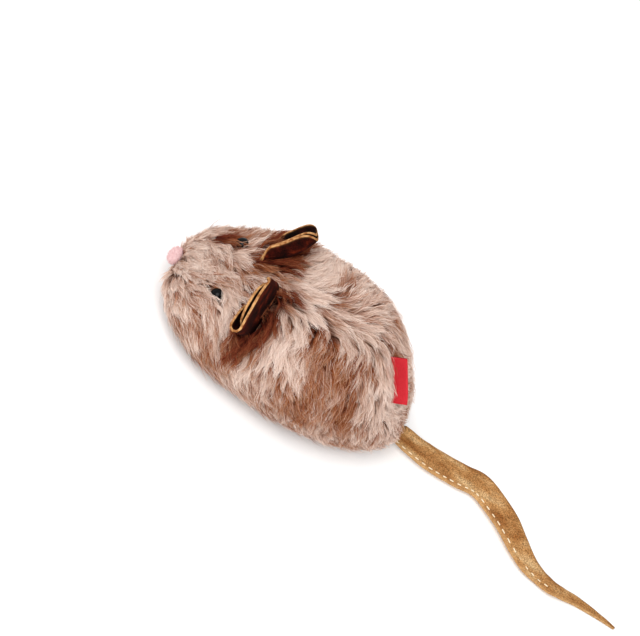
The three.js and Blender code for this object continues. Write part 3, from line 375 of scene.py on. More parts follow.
# Places where the pile is brown: the share of the body's length, the angle round it, a
# radius in millimetres and a depth; a negative depth is a pale place
tone_places = [
    (0.55, 1.27, 2.2, 0.9), (0.49, 1.22, 3, 0.7), (0.495, 1.08, 3, 0.6), (0.48, 0.9, 2.6, 0.7),
    (0.385, 0.95, 2.4, 1.1), (0.375, 1.19, 2.4, 0.9), (0.44, 1.15, 6, 0.4), (0.36, 0.65, 2.4, 0.7),
    (0.325, 0.68, 2.4, 0.8), (0.32, 0.5, 2.6, 0.9), (0.28, 0.38, 3, 0.8), (0.4, 0.59, 2.2, 0.6),
    (0.31, 0.77, 2.2, 0.6), (0.47, 0.53, 3.2, 0.8), (0.395, 0.08, 3, 0.7), (0.475, 0.155, 2.6, 0.8),
    (0.435, 0.1, 3, 0.6), (0.485, -0.02, 3, 0.6), (0.5, -0.35, 4, 0.5), (0.3, 1.03, 2.5, 0.7),
    (0.2, 0.5, 3, 0.6), (0.73, 0.27, 3.5, 0.6), (0.28, 1.67, 2.4, 0.8), (0.3, 2.2, 3, 0.5),
    (0.76, 1.72, 3, 0.5), (0.7, 1.69, 2.5, 0.9), (0.81, 1.6, 2.6, 0.4), (0.79, 1.35, 2.5, 0.6),
    (0.67, 1.45, 2.5, 0.8), (0.68, 1.07, 3, 0.8), (0.7, 0.75, 3.5, 0.8), (0.92, 2.13, 2.6, 0.9),
    # The broad places from (0.42, 0.8, 13, 0.32) to (0.5, 0, 10, 0.3), low on the left flank, are painted
    # shade that darkens the pile towards the bottom
    (0.42, 0.8, 13, 0.32), (0.35, 0.4, 10, 0.3), (0.5, 0.4, 9, 0.35), (0.62, 0.1, 8, 0.25),
    (0.5, 0, 10, 0.3), (0.815, 0.94, 4, -0.8), (0.62, 1.4, 5, -0.6), (0.6, 0.95, 5, -0.5),
    (0.17, 1.2, 7, -0.8), (0.2, 0.85, 5, -0.6), (0.645, 0.74, 5, -0.5), (0.575, 2.07, 8, -0.6),
    (0.85, 1.9, 6, -0.5), (0.62, 1.75, 8, -0.7), (0.525, 0.7, 3, -0.4), (0.365, 0.4, 1.8, -0.5),
    (0.42, 0.95, 2, -0.5), (0.75, 2.1, 5, -0.5), (0.83, 1.2, 4, -0.3), (0.86, 1.65, 6, 0.35),
    (0.985, 0.9, 5, -0.9), (0.98, 2, 5, -0.7),
]

# Places where the pile is painted maroon as shade: in the dimple round the right eye, by the right ear and in
# deep gaps; a negative depth takes it away
painted_shade_places = [
    (0.925, 2.18, 1.8, 1), (0.935, 2.02, 1.4, 0.8), (0.9, 2.12, 1.8, 0.9), (0.865, 2.08, 1.8, 0.8),
    (0.7, 1.69, 1.8, 0.6), (0.385, 0.95, 1.7, 1.1), (0.325, 0.62, 2, 0.6), (0.375, 1.19, 1.7, 0.7),
    (0.28, 1.67, 1.6, 0.5), (0.55, 1.27, 1.6, 0.5), (0.67, 1.45, 1.6, 0.4), (0.47, 0.53, 1.6, 0.4),
    (0.915, 1.87, 1.4, -1), (0.28, 0.38, 1.6, 0.4),
]

# Places where the pile stands higher or lower, by millimetres
tuft_places = [
    (0.87, 2.5, 10, -1.6), (0.97, 2.2, 6, -0.6), (0.25, 1.2, 4, 2.2), (0.985, 0.8, 3, 1),
    (0.985, 1.57, 3, 1), (0.4, 2.35, 9, -1.3), (0.9, 2, 3, 0.6), (0.6, 0, 14, -1.1),
    (0.8, 0.1, 12, -1.1), (0.4, -0.1, 12, -0.8), (0.93, 0.35, 8, -0.8), (0.55, 2.6, 9, -0.8),
]


# Materials


def linear(colour):
    shares = [channel / 255 for channel in colour]
    return tuple(s / 12.92 if s <= 0.04045 else ((s + 0.055) / 1.055) ** 2.4 for s in shares) + (1.0,)


def fill(tree, node, inputs):
    """Links each named input of a node to a socket, or gives it a value."""
    for key, value in inputs.items():
        if isinstance(value, bpy.types.NodeSocket):
            tree.links.new(value, node.inputs[key])
        else:
            node.inputs[key].default_value = value


def new_node(tree, kind, inputs, **settings):
    node = tree.nodes.new(kind)
    for name, value in settings.items():
        setattr(node, name, value)
    fill(tree, node, inputs)
    return node


def new_material(name, roughness, metallic=0.0, specular=0.5):
    material = bpy.data.materials.new(name)
    material.use_nodes = True
    tree = material.node_tree
    shader = tree.nodes["Principled BSDF"]
    fill(tree, shader, {"Roughness": roughness, "Metallic": metallic, "Specular IOR Level": specular})
    return material, tree, shader


def ramp(tree, fac, stops):
    node = new_node(tree, "ShaderNodeValToRGB", {"Fac": fac})
    while len(node.color_ramp.elements) < len(stops):
        node.color_ramp.elements.new(0.5)
    for element, (place, colour) in zip(node.color_ramp.elements, stops):
        element.position = place
        element.color = linear(colour)
    return node.outputs["Color"]


def noise_of(tree, scale, detail=3.0, stretch=(1, 1, 1)):
    place = new_node(tree, "ShaderNodeTexCoord", {}).outputs["Object"]
    mapping = new_node(tree, "ShaderNodeMapping", {"Vector": place, "Scale": stretch})
    inputs = {"Vector": mapping.outputs["Vector"], "Scale": scale, "Detail": detail}
    return new_node(tree, "ShaderNodeTexNoise", inputs).outputs["Fac"]


def mixed(tree, fac, first, second, blend="MIX"):
    inputs = {0: fac, 6: first, 7: second}
    return new_node(tree, "ShaderNodeMix", inputs, data_type="RGBA", blend_type=blend).outputs[2]


def worked_out(tree, operation, first, second):
    return new_node(tree, "ShaderNodeMath", {0: first, 1: second}, operation=operation).outputs["Value"]


def bump(tree, height, strength, depth):
    inputs = {"Height": height, "Strength": strength, "Distance": depth}
    return new_node(tree, "ShaderNodeBump", inputs).outputs["Normal"]


def share_between(tree, value, low, high):
    """How far a value has gone from low to high, between 0 and 1."""
    inputs = {"Value": value, "From Min": low, "From Max": high}
    return new_node(tree, "ShaderNodeMapRange", inputs).outputs["Result"]


def fur_material():
    """Pale, brown and then maroon strands by U of OFBake, the maroon being painted shade, each darker at its
    root by V.
    """
    material, tree, shader = new_material("plush_pile", 0.8, specular=0.15)
    uv = new_node(tree, "ShaderNodeUVMap", {}, uv_map="OFBake").outputs["UV"]
    split = new_node(tree, "ShaderNodeSeparateXYZ", {"Vector": uv})
    pale, brown, maroon = (ramp(tree, split.outputs["Y"], stops) for stops in fur_colours)
    to_brown = share_between(tree, split.outputs["X"], 0.0, brown_full)
    to_painted_shade = share_between(tree, split.outputs["X"], brown_full, 1.0)
    colour = mixed(tree, to_painted_shade, mixed(tree, to_brown, pale, brown), maroon)
    fill(tree, shader, {"Base Color": colour})
    return material


def suede_material(name, colours, edge, streak=1.0):
    """Clouded suede with a fine nap, whose cut edges show the colours of edge."""
    material, tree, shader = new_material(name, 0.95, specular=0.06)
    cloud = noise_of(tree, cloud_grain, 4, (streak, 1, 1))
    nap = noise_of(tree, nap_grain, 5)
    colour = ramp(tree, cloud, list(zip((0.32, 0.52, 0.72), colours)))
    speck = ramp(tree, nap, [(0.35, (150, 150, 150)), (0.65, (255, 255, 255))])
    colour = mixed(tree, 1.0, colour, speck, "MULTIPLY")
    worn = ramp(tree, noise_of(tree, wear_grain), list(zip((0.35, 0.65), edge)))
    at_edge = new_node(tree, "ShaderNodeAttribute", {}, attribute_name="cut_edge").outputs["Fac"]
    colour = mixed(tree, at_edge, colour, worn)
    fill(tree, shader, {"Base Color": colour, "Normal": bump(tree, nap, 0.45, nap_depth)})
    return material


def woven_material():
    material, tree, shader = new_material("woven_label", 0.7, specular=0.3)
    uv = new_node(tree, "ShaderNodeUVMap", {}, uv_map="weave").outputs["UV"]
    threads = []
    for direction, count in label_threads:
        inputs = {"Vector": uv, "Scale": count, "Distortion": 0.4}
        wave = new_node(tree, "ShaderNodeTexWave", inputs, bands_direction=direction)
        threads.append(wave.outputs["Fac"])
    both = worked_out(tree, "MULTIPLY", *threads)
    colour = ramp(tree, both, [(0, (170, 16, 30)), (0.5, (214, 30, 44)), (1, (236, 62, 70))])
    fill(tree, shader, {"Base Color": colour, "Normal": bump(tree, both, 0.4, weave_depth)})
    return material


def grained_material(name, low, high, scale, roughness, metallic=0.0, strength=0.1, specular=0.5,
                     depth=grain_depth):
    material, tree, shader = new_material(name, roughness, metallic, specular)
    grain = noise_of(tree, scale)
    colour = ramp(tree, grain, [(0.3, low), (0.7, high)])
    fill(tree, shader, {"Base Color": colour, "Normal": bump(tree, grain, strength, depth)})
    return material


# Meshes


def unit(vectors):
    return vectors / np.maximum(np.linalg.norm(vectors, axis=-1, keepdims=True), 1e-12)


def fading(away, reach):
    """A share that falls smoothly from 1 as something is further away."""
    return np.exp(-(away / reach) ** 2)


def curve(value, places):
    """The level at a value, straight between places that each have one."""
    return np.interp(value, *zip(*places))


def turned(vectors, axes, angles):
    c, s = np.cos(angles)[:, None], np.sin(angles)[:, None]
    return vectors * c + np.cross(axes, vectors) * s + axes * (vectors * axes).sum(1, keepdims=True) * (1 - c)


def placed(name, data):
    item = bpy.data.objects.new(name, data)
    bpy.context.scene.collection.objects.link(item)
    return item


def mesh_object(name, points, groups, material, smooth=True):
    """A piece from its points and from arrays of faces, each array with one number of corners."""
    corners = np.concatenate([group.ravel() for group in groups]).astype(np.int32)
    sizes = np.concatenate([np.full(len(group), group.shape[1]) for group in groups])
    mesh = bpy.data.meshes.new(name)
    mesh.vertices.add(len(points))
    mesh.vertices.foreach_set("co", np.asarray(points, np.float32).ravel())
    mesh.loops.add(len(corners))
    mesh.loops.foreach_set("vertex_index", corners)
    mesh.polygons.add(len(sizes))
    mesh.polygons.foreach_set("loop_start", (np.cumsum(sizes) - sizes).astype(np.int32))
    mesh.update(calc_edges=True)
    mesh.validate()
    mesh.polygons.foreach_set("use_smooth", np.full(len(mesh.polygons), smooth))
    mesh.materials.append(material)
    return placed(name, mesh)


def grid_faces(rows, columns, closed=False):
    i, j = np.meshgrid(np.arange(rows - 1), np.arange(columns if closed else columns - 1), indexing="ij")
    i, j = i.ravel() * columns, j.ravel()
    right = (j + 1) % columns
    return np.stack([i + j, i + right, i + columns + right, i + columns + j], 1)


def capped_tube(rings):
    """Points and faces of rings skinned in order, with a fan round the middle of each end."""
    rings = np.asarray(rings)
    count, sides = rings.shape[:2]
    points = np.concatenate([rings.reshape(-1, 3), rings[0].mean(0)[None], rings[-1].mean(0)[None]])
    around = np.arange(sides)
    after = (around + 1) % sides
    hub = count * sides
    last = (count - 1) * sides
    start = np.stack([np.full(sides, hub), after, around], 1)
    end = np.stack([np.full(sides, hub + 1), last + around, last + after], 1)
    return points, [grid_faces(count, sides, closed=True), start, end]


def joined(forms):
    """Points and faces of several forms as those of one."""
    points, groups, first = [], [], 0
    for places, faces in forms:
        points.append(places)
        groups += [group + first for group in faces]
        first += len(places)
    return np.concatenate(points), groups


def outward(piece):
    form = bmesh.new()
    form.from_mesh(piece.data)
    bmesh.ops.recalc_face_normals(form, faces=form.faces)
    form.to_mesh(piece.data)
    form.free()
    return piece


def tube_object(name, rings, material):
    return outward(mesh_object(name, *capped_tube(rings), material))


def set_attribute(piece, name, values):
    layer = piece.data.attributes.new(name, "FLOAT", "POINT")
    layer.data.foreach_set("value", np.asarray(values, np.float32))


def set_uv(piece, name, values):
    """Gives each corner of a piece the value of its point."""
    corners = np.empty(len(piece.data.loops), np.int32)
    piece.data.loops.foreach_get("vertex_index", corners)
    layer = piece.data.uv_layers.new(name=name)
    layer.uv.foreach_set("vector", values[corners].astype(np.float32).ravel())


def finder_of(places):
    finder = KDTree(len(places))
    for i, place in enumerate(places):
        finder.insert(Vector(place), i)
    finder.balance()
    return finder


# Stuffed body surface


def fullness(share, peak, rear_power, front_power):
    rear = share < peak
    away = np.where(rear, (peak - share) / peak, (share - peak) / (1 - peak))
    power = np.where(rear, rear_power, front_power)
    return np.maximum(1 - np.clip(away, 0, 1) ** power, 0) ** (1 / power)


def signed_power(value, power):
    return np.sign(value) * np.abs(value) ** power


def body_point(share, angle, inset=0.0):
    share, angle = np.broadcast_arrays(np.asarray(share, float), np.asarray(angle, float))
    x = rump_x + inset + share * (body_length - 2 * inset)
    half_width = (body_width / 2 - inset) * fullness(share, *plan_fullness)
    tip = rump_height + (snout_height - rump_height) * share
    top = tip + (body_height - inset - tip) * fullness(share, *top_fullness)
    bottom = tip - (tip + belly_flat - inset) * fullness(share, *bottom_fullness)
    belt = bottom + (top - bottom) * belt_share
    upper = np.sin(angle) >= 0
    power = 2 / np.where(upper, upper_section_power, lower_section_power)
    rise = np.where(upper, top - belt, belt - bottom)
    y = half_width * signed_power(np.cos(angle), power)
    z = belt + rise * signed_power(np.sin(angle), power)
    return np.stack([x, y, np.maximum(z, inset)], -1)


def body_normal(share, angle):
    nudge = 0.002
    ahead = body_point(share + nudge, angle) - body_point(share - nudge, angle)
    around = body_point(share, angle + nudge) - body_point(share, angle - nudge)
    return unit(np.cross(around, ahead))


def body_grid(inset):
    return body_point(skin_shares[:, None], skin_angles[None, :-1], inset)


def surface_tree():
    faces = grid_faces(skin_rows + 1, skin_sides, closed=True)
    return BVHTree.FromPolygons(body_grid(0.0).reshape(-1, 3).tolist(), faces.tolist())


def backing_cloth(material):
    outer, inner = (
        capped_tube(body_grid(inset)[1:-1]) for inset in (backing_depth, backing_depth + backing_thickness)
    )
    inner = (inner[0], [group[:, ::-1] for group in inner[1]])
    return mesh_object("plush_backing", *joined([outer, inner]), material)


# Pile


def eye_place(side):
    angle = eye_around_angle if side > 0 else math.pi - eye_around_angle
    return body_point(eye_along_share, angle), body_normal(eye_along_share, angle)


def comb(points, normals):
    """Which way the pile lies at places on the body."""
    share = (points[:, 0] - rump_x) / body_length
    side = np.tanh(points[:, 1] / flank_start)
    back = curve(share, comb_pulls) + ridge_pull * fading(points[:, 1], ridge_width)
    flow = np.stack([-back, side_pull * side, -down_pull * np.abs(side)], 1)
    flow -= normals * (flow * normals).sum(1, keepdims=True)
    return unit(flow)


def waves(points, size, seed):
    """A smooth wandering value from -1 to 1 over the surface."""
    total = np.zeros(len(points))
    draw = np.random.default_rng(seed)
    for _ in range(wave_count):
        direction = unit(draw.normal(size=3)) / size
        total += np.sin(points @ direction * draw.uniform(*wave_sizes) + draw.uniform(0, 2 * np.pi))
    return np.clip(total / wave_total, -1, 1)


def wandering(points, parts):
    return sum(share * waves(points, size, seed) for share, size, seed in parts)


def near_places(points, places, scale=1):
    """The depths of places on the body, each fading out over its radius."""
    total = np.zeros(len(points))
    for share, angle, radius, depth in places:
        away = np.linalg.norm(points - body_point(share, angle), axis=1)
        total += depth * scale * fading(away, radius * MM)
    return total


def scatter(count):
    """Shares and angles of places spread over the body."""
    grid = body_point(skin_shares[:, None], skin_angles[None])
    diagonals = grid[1:, 1:] - grid[:-1, :-1], grid[1:, :-1] - grid[:-1, 1:]
    area = np.linalg.norm(np.cross(*diagonals), axis=2) / 2
    middle = (skin_angles[1:] + skin_angles[:-1]) / 2
    area = area * np.where(np.sin(middle) < under_sine, under_density, 1.0)[None]
    area = area * curve(skin_shares[1:], snout_densities)[:, None]
    cells = np.divmod(rng.choice(area.size, count, p=area.ravel() / area.sum()), skin_sides)
    return [
        edges[cell] + rng.random(count) * (edges[cell + 1] - edges[cell])
        for edges, cell in zip((skin_shares, skin_angles), cells)
    ]


def locks(tree):
    """The guides that the strands follow: places down each lock on the surface with the
    normals there, how high it stands and its tone."""
    share, angle = scatter(lock_count)
    place = body_point(share, angle)
    normal = body_normal(share, angle)
    swirl = wandering(place, lock_swirls) + rng.normal(0, lock_stray, lock_count)
    near_tip = curve(share, tip_lengths)
    travel = strand_travel * near_tip * rng.uniform(*lock_lengths, lock_count)
    phase = rng.uniform(0, 2 * np.pi, lock_count)
    steepest = lock_wave * 2 * np.pi / lock_wave_length
    places, normals = [place], [normal]
    for k in range(strand_steps + 1):
        bend = steepest * np.cos(phase + 2 * np.pi * k / strand_steps * travel / lock_wave_length)
        flow = turned(comb(place, normal), normal, swirl + bend)
        ahead = place + flow * (travel / strand_steps)[:, None]
        found = [tree.find_nearest(Vector(p)) for p in ahead]
        place = np.array([f[0] for f in found])
        normal = unit(np.array([f[1] for f in found]) + normal * lock_smoothing)
        places.append(place)
        normals.append(normal)
    off_ear = ear_distance(places[1])
    low_flank = curve(normals[0][:, 2], flank_stands)
    stand = lock_stand * rng.uniform(*lock_stands, lock_count) * near_tip * low_flank
    stand += ear_fur_rise * fading(off_ear, ear_fur_spread) + near_places(places[2], tuft_places, MM)
    stand = np.maximum(stand, least_stand)
    tone = plain_tone + wandering(places[2], tone_waves) + near_places(places[2], tone_places)
    tone = brown_full * np.clip(tone + rng.normal(0, lock_tone_spread, lock_count), 0, 1)
    # Painted shade: the pile turns maroon near the ears and at the listed shaded places
    tone += ear_painted_shade_tone * fading(off_ear, ear_painted_shade_reach) + near_places(places[2], painted_shade_places)
    return np.stack(places, 1), np.stack(normals, 1), stand, tone


def strands(tree):
    """Every strand's places from root to tip with the normal at its root, and its tone."""
    lock_places, lock_normals, stands, tones = locks(tree)
    finder = finder_of(lock_places[:, 0])
    share, angle = scatter(strand_count)
    root = body_point(share, angle)
    picks = (rng.random(strand_count) < next_lock_share).astype(int)
    lock = np.array([finder.find_n(Vector(place), 2)[pick][1] for place, pick in zip(root, picks)])
    loose = rng.random(strand_count) < loose_share
    reach = rng.uniform(*strand_reaches, strand_count) + loose_reach * loose
    gather = rng.uniform(*strand_gathers, strand_count) * curve(share, snout_gathers)
    gather = np.where(loose, loose_gather, gather)
    offset = root - lock_places[lock, 0]
    sway = rng.normal(0, 1, (strand_count, 3))
    phase = rng.uniform(0, 2 * np.pi, strand_count)
    stand = stands[lock] + loose * loose_stand
    points = []
    for s in np.arange(strand_steps + 1) / strand_steps:
        at = np.clip(reach * s ** run_power * strand_steps, 0, strand_steps + 1 - 1e-6)
        low = at.astype(int)
        part = (at - low)[:, None]
        place, normal = (
            guide[lock, low] * (1 - part) + guide[lock, low + 1] * part
            for guide in (lock_places, lock_normals)
        )
        height = -strand_root + (strand_root + stand) * (1 - (1 - s) ** rise_power)
        point = place + unit(normal) * height[:, None] + offset * (1 - gather * s ** gather_power)[:, None]
        point += sway * (strand_sway * s * (1 + loose))[:, None]
        point += sway[:, [1, 2, 0]] * (strand_curl * np.sin(phase + curl_turn * s) * s)[:, None]
        points.append(point)
    points = np.stack(points, 1)
    points[:, :, 2] = np.maximum(points[:, :, 2], floor_clear)
    tone = np.clip(tones[lock] + rng.normal(0, strand_tone_spread, strand_count), 0, 1)
    return points, lock_normals[lock, :1].repeat(strand_steps + 1, 1), tone


def parted(points):
    """Which strands stay: none through an eye, the nose or the tail."""
    tips = points[:, 1:]
    stays = ~(np.linalg.norm((tips - nose_centre) / nose_half, axis=2) < 1).any(1)
    for side, clear in eye_clear_radius.items():
        centre, normal = eye_place(side)
        away = tips - centre
        beside = away - normal * (away @ normal)[..., None]
        covers = (np.linalg.norm(beside, axis=2) < clear).any(1)
        stays &= ~covers | (away @ normal < -2 * backing_depth).all(1)
    middle = np.abs(tips[..., 1]) < tail_thickness / 2 + tail_fur_clear
    behind = tips[..., 0] < rump_x - seat_gap
    level = np.abs(tips[..., 2] - rump_height) < tail_width / 2
    return stays & ~(middle & behind & level).any(1)


def beside_label(points):
    """Lays strands that would run through the label along its near face."""
    foot, upright, along, through = label_axes()
    face = label_thickness / 2 + label_fur_clear
    way = np.where((points[:, 0] - foot) @ through > 0, 1, -1)
    for k in range(1, points.shape[1]):
        away = points[:, k] - foot
        over = np.abs(away @ along) < label_length / 2 + label_fur_clear
        over &= np.abs(away @ upright) < label_reach
        short = np.where(over, np.maximum(face - way * (away @ through), 0), 0)
        short = np.where(short < label_length, short, 0)
        points[:, k] += (way * short)[:, None] * through


def ribbon_mesh(name, points, normals, tone, width, material):
    """A flat tapering ribbon for each strand, with its tone and its run in OFBake."""
    count, steps = points.shape[:2]
    along = np.empty_like(points)
    along[:, 1:-1] = points[:, 2:] - points[:, :-2]
    along[:, 0] = points[:, 1] - points[:, 0]
    along[:, -1] = points[:, -1] - points[:, -2]
    side = unit(np.cross(unit(along), normals))
    roll = rng.normal(0, ribbon_roll, count)[:, None, None]
    side = unit(side * np.cos(roll) + np.cross(unit(along), side) * np.sin(roll))
    s = np.linspace(0, 1, steps)
    taper = (ribbon_root_share + ribbon_swell_share * s) * (1 - ribbon_point_share * s ** 3)
    half = (width / 2 * rng.uniform(*ribbon_widths, count))[:, None] * taper[None]
    edges = np.stack([points - side * half[..., None], points + side * half[..., None]], 2)
    first = (np.arange(count) * steps * 2)[:, None] + np.arange(steps - 1)[None] * 2
    quads = np.stack([first, first + 1, first + 3, first + 2], 2).reshape(-1, 4)
    piece = mesh_object(name, edges.reshape(-1, 3), [quads], material)
    across = tone_margin + tone_span * tone[:, None, None] + np.array([0, tone_margin])
    along = (tone_margin + strand_span * s)[None, :, None]
    set_uv(piece, "OFBake", np.stack(np.broadcast_arrays(across, along), -1).reshape(-1, 2))
    return piece


def pile(tree, material):
    """The fur in pieces: by each ear, by the label and in bands down the body."""
    points, normals, tone = strands(tree)
    stays = beside_ears(points, tone) & parted(points)
    beside_label(points)
    points, normals, tone = points[stays], normals[stays], tone[stays]
    roots = points[:, 0]
    foot, upright, along, through = label_axes()
    away = roots - foot
    near_label = np.abs(away @ through) < label_fur_reach
    near_label &= np.abs(away @ along) < label_length / 2 + label_fur_reach / 2
    near_label &= np.abs(away @ upright) < label_length / 2
    groups = {"fur_by_label": near_label}
    reach = np.stack([np.linalg.norm(roots - ear_frame(ear)[0], axis=1) for ear in ears.values()])
    for word, off in zip(ears, reach):
        groups[f"fur_by_{word}_ear"] = (off < ear_length / 2 + ear_fur_reach) & (off == reach.min(0))
    rest = np.flatnonzero(~np.any(list(groups.values()), 0))
    rest = rest[np.argsort(roots[rest, 0], kind="stable")]
    for i, part in enumerate(np.array_split(rest, math.ceil(len(rest) / most_strands))):
        groups[f"fur_band_{i + 1}"] = part
    return {
        name: ribbon_mesh(name, points[part], normals[part], tone[part], strand_width, material)
        for name, part in groups.items()
    }


# Ears


def ear_root_place(ear):
    """Where an ear stands on the body, and which way the body faces there."""
    angle = math.pi / 2 - ear["side"] * (math.pi / 2 - ear["around"])
    return body_point(ear["along"], angle), body_normal(ear["along"], angle)


def ear_frame(ear):
    """An ear's root on the body, and the ways across it, out of its front and to its tip."""
    side = ear["side"]
    across = unit(np.array([
        -math.sin(ear_turn_angle),
        side * math.cos(ear_splay_angle) * math.cos(ear_turn_angle),
        -math.sin(ear_splay_angle) * math.cos(ear_turn_angle),
    ]))
    upright = np.array([0, side * math.sin(ear_splay_angle), math.cos(ear_splay_angle)])
    facing = unit(side * np.cross(across, upright))
    tipward = side * np.cross(facing, across)
    leant = turned(np.stack([facing, tipward]), np.stack([across, across]), np.full(2, side * ear["lean"]))
    return ear_root_place(ear)[0], across, leant[0], leant[1]


def edge_reach(edge, share, tip_power):
    """How far an edge reaches from the middle at a share of the ear's length."""
    flat, radius, angle, beyond, root_share, full_share = edge
    widest = flat + radius * angle + beyond
    if share > ear_widest_share:
        past = (share - ear_widest_share) / (1 - ear_widest_share)
        return widest * max(1 - past ** tip_power, 0) ** (1 / tip_power)
    rise = math.sin(math.pi / 2 * min(max(share, 0) / full_share, 1))
    return widest * (root_share + (1 - root_share) * rise)


def edge_path(edge, reach, steps):
    """Places (across, facing), bends and runs to the end, from a layer's middle to one edge."""
    flat, radius, angle = edge[:3]
    run = reach * np.arange(steps + 1) / steps
    bend = np.clip((run - flat) / radius, 0, angle)
    beyond = np.maximum(run - flat - radius * angle, 0)
    along = np.minimum(run, flat) + radius * np.sin(bend) + beyond * np.cos(bend)
    forward = radius * (1 - np.cos(bend)) + beyond * np.sin(bend)
    return np.stack([along, forward], 1), bend, reach - run


def ear_layer_path(ear, word, share, steps):
    """A layer's middle line at one level from its inner to its outer edge, with its normals and runs."""
    parts = []
    for edge_word, way in (("inner", -1), ("outer", 1)):
        edge = ear[word][edge_word]
        reach = max(edge_reach(edge, share, ear["tip_power"]), ear_least_reach)
        path, bend, run = edge_path(edge, reach, steps)
        normal = np.stack([-np.sin(bend), np.cos(bend)], 1)
        parts.append((path * [way, 1], normal * [way, 1], run))
    path, normal, run = (np.concatenate([first[:0:-1], second]) for first, second in zip(*parts))
    gap = seat_gap + (ear_rim_gap - seat_gap) * share
    middle = (gap + ear_layer) / 2 * (1 if word == "lining" else -1)
    return path + [0, middle], normal, run


def ear_places(ear, path, share):
    """Places in the mouse's frame of (across, facing) pairs at one level of an ear."""
    root, across, facing, tipward = ear_frame(ear)
    rise = -ear_root + (ear_length + ear_root) * share
    curl = ear["tip_curl"] * share ** ear_curl_power
    return root + path[:, :1] * across + (path[:, 1:] + curl) * facing + rise * tipward


def ear_faces(ear):
    """For both layers: places over it, the way its bare face looks there, their finder and sheet."""
    _, across, facing, _ = ear_frame(ear)
    levels, steps = 30, 26
    faces = []
    for word, way in (("back", -1), ("lining", 1)):
        places, normals = [], []
        for share in np.linspace(0, 0.99, levels):
            path, normal, _ = ear_layer_path(ear, word, share, steps)
            places.append(ear_places(ear, path, share))
            normals.append(way * (normal[:, :1] * across + normal[:, 1:] * facing))
        places, normals = np.concatenate(places), np.concatenate(normals)
        sheet = BVHTree.FromPolygons(places.tolist(), grid_faces(levels, 2 * steps + 1).tolist())
        faces.append((places, normals, finder_of(places), sheet))
    return faces


def ear_distance(points):
    """How far places are from the nearer ear."""
    finders = [finder for ear in ears.values() for _, _, finder, _ in ear_faces(ear)]
    return np.array([min(finder.find(Vector(point))[2] for finder in finders) for point in points])


def crosses(strand, sheets):
    for first, second in zip(strand, strand[1:]):
        step = Vector(second - first)
        if any(sheet.ray_cast(Vector(first), step, step.length)[0] for sheet in sheets):
            return True
    return False


def beside_ears(points, tone):
    """Lays strands that would run through an ear along its faces, painted dark as the shade there, and says
    which strands stay.
    """
    stays = np.ones(len(points), bool)
    for ear in ears.values():
        faces = ear_faces(ear)
        middle = faces[0][0].mean(0)
        sheets = [sheet for _, _, _, sheet in faces]
        close = (np.linalg.norm(points - middle, axis=2) < ear_near_share * ear_length).any(1)
        for i in np.flatnonzero(close):
            root = Vector(points[i, 0])
            places, normals, finder, _ = min(faces, key=lambda face: face[2].find(root)[2])
            nearest = finder.find(root)[1]
            stays[i] = (points[i, 0] - places[nearest]) @ normals[nearest] > 0
            for k in range(1, points.shape[1]):
                _, nearest, distance = finder.find(Vector(points[i, k]))
                depth = (points[i, k] - places[nearest]) @ normals[nearest]
                beside = math.sqrt(max(distance ** 2 - depth ** 2, 0))
                if depth < ear_fur_clear and beside < ear_layer:
                    points[i, k] += normals[nearest] * (ear_fur_clear - depth)
                    # Painted shade on the strands pressed against the ear
                    tone[i] = max(tone[i], ear_painted_shade_strand_tone)
            stays[i] &= not crosses(points[i], sheets)
    return stays


def ear_sheet(name, ear, word, material):
    """One layer of an ear with rounded rims, and how near each point is to its cut edge."""
    steps, levels, rim_steps = 30, 34, 4
    rings, edges = [], []
    around = math.pi * np.arange(1, rim_steps) / rim_steps
    spread = np.sin(around)[:, None] * ear_layer * ear_rim_share
    turn = np.cos(around)[:, None]
    for i in range(levels + 1):
        share = math.sin(math.pi / 2 * i / levels)
        path, normal, run = ear_layer_path(ear, word, share, steps)
        tangent = np.stack([normal[:, 1], -normal[:, 0]], 1)
        across = np.linspace(0, 1, len(path))
        ripple = ear_ripple_share * np.sin(ear_ripple_turns[0] * share + ear_ripple_turns[1] * across)
        thick = ear_layer / 2 * (1 + ripple)[:, None]
        near, far = path - normal * thick, path + normal * thick
        outer_rim = path[-1] - normal[-1] * thick[-1] * turn + tangent[-1] * spread
        inner_rim = path[0] + normal[0] * thick[0] * turn - tangent[0] * spread
        rings.append(ear_places(ear, np.concatenate([near, outer_rim, far[::-1], inner_rim]), share))
        to_edge = np.minimum(run, ear_length * (1 - share))
        rim = np.zeros(rim_steps - 1)
        edges.append(np.concatenate([to_edge, rim, to_edge[::-1], rim]))
    piece = tube_object(name, rings, material)
    tone = np.exp(-np.maximum(np.concatenate(edges), 0) / ear_cut_reach)
    set_attribute(piece, "cut_edge", np.concatenate([tone, [0, 1]]))
    return piece


# Tail


def tail_share(shares, run):
    """Smooth values between the tail's own places."""
    runs, values = np.array(tail_runs), np.array(shares, float)
    slopes = np.gradient(values, runs)
    i = np.clip(np.searchsorted(runs, run, side="right") - 1, 0, len(runs) - 2)
    span = runs[i + 1] - runs[i]
    t = (run - runs[i]) / span
    return (
        (2 * t ** 3 - 3 * t ** 2 + 1) * values[i]
        + (t ** 3 - 2 * t ** 2 + t) * span * slopes[i]
        + (3 * t ** 2 - 2 * t ** 3) * values[i + 1]
        + (t ** 3 - t ** 2) * span * slopes[i + 1]
    )


def tail_line(run):
    """Centre, half width, half thickness and roll of the folded strip; a run below zero is sewn in."""
    run = np.asarray(run, float)
    forward = tail_reach * np.minimum(run, 0)
    run = np.maximum(run, 0)
    roll = tail_full_roll * np.interp(run, tail_runs, tail_rolls)
    half_width = tail_width / 2 * np.interp(run, tail_runs, tail_widths)
    half_thick = tail_thickness / 2 * np.interp(run, tail_runs, tail_thicks)
    lying = tail_floor_gap + half_width * np.cos(roll) + half_thick * np.sin(roll)
    lift = rump_height - (tail_floor_gap + tail_width / 2)
    height = lying + lift * np.maximum(1 - run / tail_drop_share, 0) ** 2
    back = tail_hinge_x - tail_reach * run - forward
    centre = np.stack([back, tail_sway * tail_share(tail_sways, run), height], -1)
    return centre, half_width, half_thick, roll


